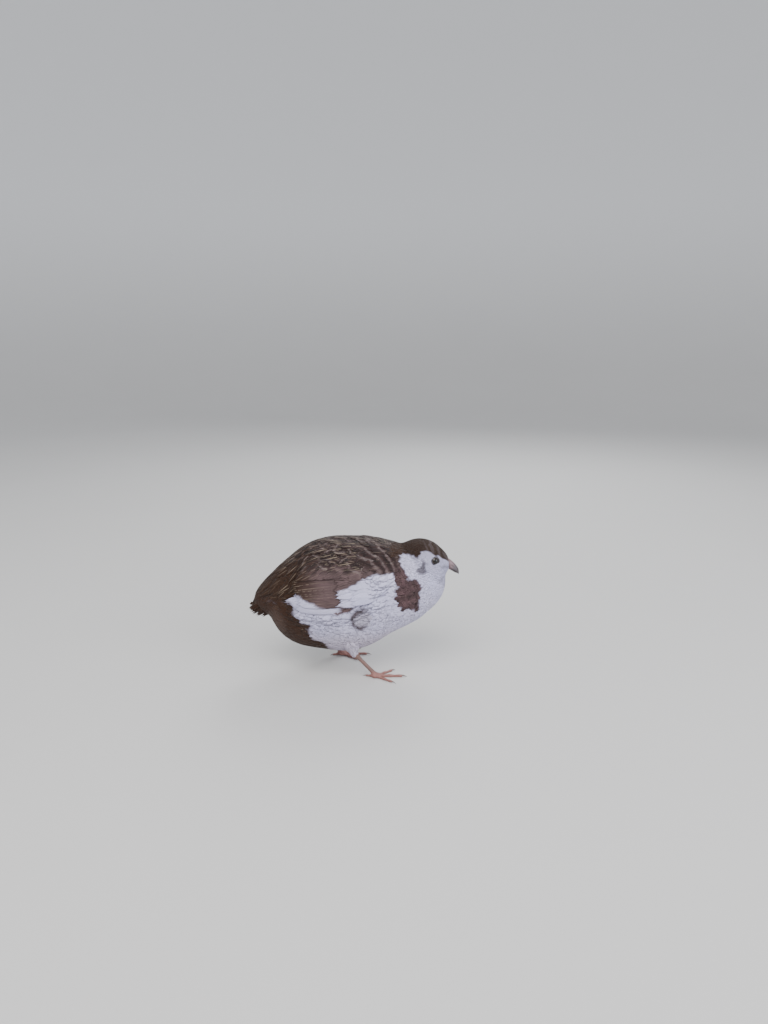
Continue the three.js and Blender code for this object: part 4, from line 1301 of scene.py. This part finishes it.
def meld(a, b, width):
    """Two distances as one body, blended where they are closer than width."""
    h = np.clip(width - np.abs(a - b), 0, None) / width
    return np.minimum(a, b) - h * h * width / 4


def scute(t):
    """Overlapping plates along a limb: each rises slowly and ends in a step."""
    f = t % 1
    return np.minimum(f**1.5, (1 - f) * 7)


def shank_surface(p, side):
    """Distance to the heel and the scaled shank."""
    knee, hock, ankle = leg_frame(side)
    bone = unit(ankle - hock)
    front = unit(np.cross(np.cross(bone, [1.0, 0, 0.6]), bone))
    flank = np.cross(bone, front)
    shin, _ = cone(p, mix(hock, knee, 0.45), hock, 3.0, 2.3)
    heel = meld(shin, cone(p, hock + [-0.5, 0, 0.3], hock + bone * 1.2, 2.5, 2.35)[0], 1.5)
    length = np.linalg.norm(ankle - hock)
    away = p - hock
    s = np.clip(away @ bone, 0, length)
    radius = np.interp(s / length, *SHANK_RADII)
    off = away - s[:, None] * bone
    shank = np.linalg.norm(off, axis=1) - radius
    facing = (off @ front) / np.maximum(np.linalg.norm(off, axis=1), 1e-6)
    half = np.where(off @ flank > 0, 0.5, 0.0)
    plates = scute(s / SHANK_PLATE + half) * smooth(0.05, 0.45, facing)
    plates = plates - 0.8 * np.exp(-(((off @ flank) / 0.18) ** 2)) * smooth(0.3, 0.6, facing)
    pebble = 0.35 * np.sin(p[:, 0] * 5.2 + p[:, 1] * 3) * np.sin(p[:, 2] * 5.4)
    pebble = pebble * smooth(0.2, -0.3, facing)
    return meld(heel, shank - 0.16 * (plates + pebble), 1.4)


def toe_surface(p, side, turn, reach, thick):
    """Distance to one scaled toe."""
    ankle = leg_frame(side)[2]
    run, across = toe_frame(side, turn)
    along = np.clip((p - ankle) @ run, 0.5, reach - 0.2)
    t = along / reach
    joint = np.cos((t - 0.2) / 0.36 * 2 * np.pi)
    r = thick / 2 * (1.02 - 0.26 * t) * (1 + 0.09 * joint)
    rise = 0.5 * smooth(0.6, 0.0, t) if turn > 100 else 0.8 * smooth(0.35, 0.0, t)
    middle = np.array([ankle[0], ankle[1], 0.0]) + along[:, None] * run
    middle[:, 2] = r * 0.88 + rise
    off = p - middle
    dist = np.linalg.norm(off, axis=1)
    above = off[:, 2] / np.maximum(dist, 1e-6)
    plates = scute(along / TOE_PLATE) * smooth(0.1, 0.5, above) * smooth(2.5, 4.0, along)
    dimple = 0.5 * np.sin(along * 4.6) * np.sin((off @ across) * 5) * smooth(0.1, -0.4, above)
    return dist - r - 0.12 * (plates + dimple)


def leg_field(side):
    """A function that gives the distance to the leg from the heel to the toes."""
    ankle = leg_frame(side)[2]

    def field(p):
        pad = np.linalg.norm((p - [ankle[0], ankle[1], PAD_MIDDLE]) / PAD_RADII, axis=1)
        d = meld(shank_surface(p, side), (pad - 1) * 2.4, 1.6)
        for turn, reach, thick, _ in TOES.values():
            d = meld(d, toe_surface(p, side, turn, reach, thick), 1.1)
        return -meld(-d, p[:, 2] - 0.02, 0.35)

    return field


def legs(side):
    """A leg from the heel down, taken from its field inside a box round it."""
    _, hock, ankle = leg_frame(side)
    field = leg_field(side)
    low = [min(hock[0] - 5.5, ankle[0] - 10), ankle[1] - 15, -0.9]
    high = [ankle[0] + 26.0, ankle[1] + 15, hock[2] + 8.0]
    points, quads = surface_net(field, low, high, NET_STEP)
    points = settle(points, field=with_slope(field), steps=2)
    points[:, 2] = np.maximum(points[:, 2], 0.0)
    height = points[:, 2:]
    flesh = mix(SHANK_FLESH, TOE_FLESH, smooth(7.0, 3.0, height))
    flesh = mix(flesh, SOLE_FLESH, 0.6 * smooth(0.9, 0.1, height))
    word = SIDE_WORD[side]
    replaced = [f"shank_{word}", f"foot_{word}"] + [f"toe_{toe}_{word}" for toe in TOES]
    add_piece(f"leg_{word}", points, [quads], SCALED_SKIN, "leg_skin", replaced, flesh, flesh)
    claws(side, ankle)


def claws(side, ankle):
    """The four claws of a foot as one piece."""
    parts, start = [], 0
    t = np.linspace(0, 1, 18)[:, None, None]
    a = ring_turns(16)[None, :, None]
    for turn, reach, thick, claw in TOES.values():
        run, across = toe_frame(side, turn)
        radius = thick * 0.27 * (1 - t) ** 0.75 + 0.05
        arch = 0.9 * np.sin(np.pi * np.minimum(t * 1.05, 1)) * claw / 6
        high = thick * 0.40 + arch - t * (thick * 0.40 - 0.12)
        middle = np.array([ankle[0], ankle[1], 0]) + (reach - 1.3 + t * (claw + 1.3)) * run
        rings = middle + radius * 0.86 * np.cos(a) * across
        rings = rings + (high + radius * np.sin(a)) * np.array([0, 0, 1.0])
        rings[..., 2] = np.maximum(rings[..., 2], 0.0)
        points, (quads, caps) = tube(rings)
        parts.append((points, quads + start, caps + start))
        start += len(points)
    points, quads, caps = (np.concatenate(part) for part in zip(*parts))
    shade = np.tile(np.concatenate([np.repeat(t[:, 0, 0], a.size), [0, 1]]), len(TOES))
    tint = mix(np.array([0.30, 0.21, 0.18]), np.array([0.22, 0.17, 0.15]), shade[:, None])
    marks = np.stack([0.15 + 0.65 * shade, 0 * shade, 0 * shade], -1)
    add_piece(f"claws_{SIDE_WORD[side]}", points, [quads, caps], HORN, "horn", (), tint, marks)


# Measures of the thigh, from the knee at 0 to the hock at 1
THIGH_RADII = [-0.2, 0.0, 0.45, 0.85, 1.02], [10.4, 10, 8, 4.6, 2.6]
THIGH_LENGTHS = [0, 0.6, 1.0], [8.5, 6.0, 3.6]  # of its feathers
THIGH_GAP = 1.9  # from feather to feather round it


def thigh_frame(side):
    """The knee, the length of the thigh's line to the hock, its direction, and two more square to it."""
    knee, hock, _ = leg_frame(side)
    line = unit(hock - knee)
    one = unit(np.cross(line, [0, 1.0, 0]))
    return knee, np.linalg.norm(hock - knee), line, one, np.cross(line, one)


def thigh_radius(t):
    return np.interp(t, *THIGH_RADII)


def thigh_feathers(side):
    """The feathered muff between the belly and the hock."""
    knee, span, line, one, two = thigh_frame(side)
    rng = np.random.default_rng(SEED["thigh"] + side)
    levels, turns = [], []
    for t in np.arange(-0.12, 0.99, 0.075):
        around = int(2 * np.pi * thigh_radius(t) / THIGH_GAP)
        turns.append((np.arange(around) + rng.random()) / around * 2 * np.pi)
        levels.append(t + rng.normal(0, 0.018, around))
    t, a = np.concatenate(levels), np.concatenate(turns)
    a = (a + rng.normal(0, 0.05, len(a)))[:, None]
    normal = np.cos(a) * one + np.sin(a) * two
    slope = ((thigh_radius(t + 0.3) - thigh_radius(t)) / (0.3 * span))[:, None]
    flow = unit(line + slope * normal)
    root = knee + t[:, None] * span * line + (thigh_radius(t) - 1.2)[:, None] * normal
    length = np.interp(t, *THIGH_LENGTHS) * rng.uniform(0.9, 1.1, len(t))
    plan = vane_plan(
        root=root,
        flow=flow,
        normal=unit(normal - slope * line),
        length=length,
        width=length * 0.52,
        low=0.0,
        high=0.9 + 0.12 * rng.normal(0, 1, len(t)),
        fray=0.30,
        camber=0.18,
        roll=rng.normal(0, 0.1, len(t)),
        curl=-0.25,
        straight=1.0,
    )
    tip = root + flow * length[:, None]
    seen = body_field(tip)[0] > -3.0
    plan = {key: value[seen] for key, value in plan.items()}
    root, tip = root[seen], tip[seen]
    points, vane = lay_vanes(SMALL, plan, VANE_SEED["thigh"] + side)
    chance = rng.random(len(tip))
    colour, marks = marked(points, tip, 0.5, np.zeros(len(tip)), chance)
    bake = unwrap(settle(root, steps=6)) + rng.normal(0, 0.002, (len(tip), 2))
    word = SIDE_WORD[side]
    batches = [(SMALL, points, vane, colour, marks, bake)]
    vane_piece(f"thigh_feathers_{word}", batches, "white_feathers", (f"thigh_{word}",))


def thigh_skin(side):
    """The closed skin under the feathers of the thigh."""
    knee, span, line, one, two = thigh_frame(side)
    t = np.linspace(-0.15, 1.0, 24)[:, None, None]
    a = ring_turns(36)[None, :, None]
    rings = knee + t * span * line + (thigh_radius(t) - 1.0) * (np.cos(a) * one + np.sin(a) * two)
    points, faces = tube(rings)
    bake = unwrap(settle(points, steps=6))
    skin_piece(f"thigh_skin_{SIDE_WORD[side]}", points, faces, (), bake, 1.0, 0.85)


# Camera, lights and stage

# The camera looks along +Y and down. The floor below the body's middle is at ground_px in the picture,
# and at this depth in mm.
CAMERA = {"focal_px": 740.0, "pitch": 13.8, "ground_px": (354.5, 665.3), "depth": 632.0, "frame": (768, 1024)}


def camera():
    pitch = math.radians(CAMERA["pitch"])
    right, up = Vector((1, 0, 0)), Vector((0, math.sin(pitch), math.cos(pitch)))
    ahead = Vector((0, math.cos(pitch), -math.sin(pitch)))
    (gx, gy), (width, height), focal = CAMERA["ground_px"], CAMERA["frame"], CAMERA["focal_px"]
    toward_ground = right * (gx - width / 2) + up * (height / 2 - gy) + ahead * focal
    place = -toward_ground / focal * CAMERA["depth"] * MM
    data = bpy.data.cameras.new("photo_view")
    data.sensor_width = 36.0
    data.sensor_fit = "AUTO"
    data.lens = focal / height * data.sensor_width
    data.clip_start = 0.01
    eye = bpy.data.objects.new("photo_view", data)
    eye.matrix_world = Matrix.Translation(place) @ Matrix((right, up, -ahead)).transposed().to_4x4()
    bpy.context.scene.collection.objects.link(eye)
    bpy.context.scene.camera = eye


def area_light(name, place, target, size, power, colour):
    data = bpy.data.lights.new(name, "AREA")
    data.shape = "DISK"
    data.size = size
    data.energy = power
    data.color = colour
    lamp = bpy.data.objects.new(name, data)
    lamp.location = place
    lamp.rotation_euler = (Vector(target) - Vector(place)).to_track_quat("-Z", "Y").to_euler()
    bpy.context.scene.collection.objects.link(lamp)


def studio():
    """Three lamps, the light of the air, and the floor."""
    middle = (0, 0, 0.06)
    area_light("key", (-0.25, -0.75, 1.0), middle, 1.0, 13, (1.0, 0.985, 0.97))
    area_light("fill", (0.9, -0.6, 0.45), middle, 0.9, 9, (0.93, 0.95, 1.0))
    area_light("rim", (0.25, 0.95, 0.85), middle, 0.7, 7, (0.96, 0.98, 1.0))
    world = bpy.data.worlds.new("studio_air")
    world.use_nodes = True
    colour, strength = world.node_tree.nodes["Background"].inputs[:2]
    colour.default_value = (0.86, 0.89, 0.95, 1)
    strength.default_value = 0.85
    bpy.context.scene.world = world
    # a round floor that rises softly into a wall, in metres
    profile = [(0.7, 0.0), (1.8, 0.0)]
    profile += [(1.8 + 1.6 * math.sin(a), 1.6 - 1.6 * math.cos(a)) for a in np.linspace(0.1, math.pi / 2, 14)]
    profile += [(3.4, 2.1)]
    around = 96
    points = [(0, 0, 0)]
    points += [(r * math.cos(a), r * math.sin(a), z) for r, z in profile for a in ring_turns(around)]
    faces = [(0, 1 + j, 1 + (j + 1) % around) for j in range(around)]
    for i, j in product(range(len(profile) - 1), range(around)):
        a, b, k = 1 + i * around, 1 + (i + 1) * around, (j + 1) % around
        faces.append((a + j, b + j, b + k, a + k))
    mesh = bpy.data.meshes.new("floor")
    mesh.from_pydata(points, [], faces)
    mesh.polygons.foreach_set("use_smooth", [True] * len(faces))
    mesh.materials.append(floor_paint())
    floor = bpy.data.objects.new("floor", mesh)
    bpy.context.scene.collection.objects.link(floor)


# The whole scene

camera()
studio()
skin()
body_feathers()
tail()
bill()
for which in (RIGHT, LEFT):
    wing(which)
    eye(which)
    lids(which)
    legs(which)
    thigh_feathers(which)
    thigh_skin(which)
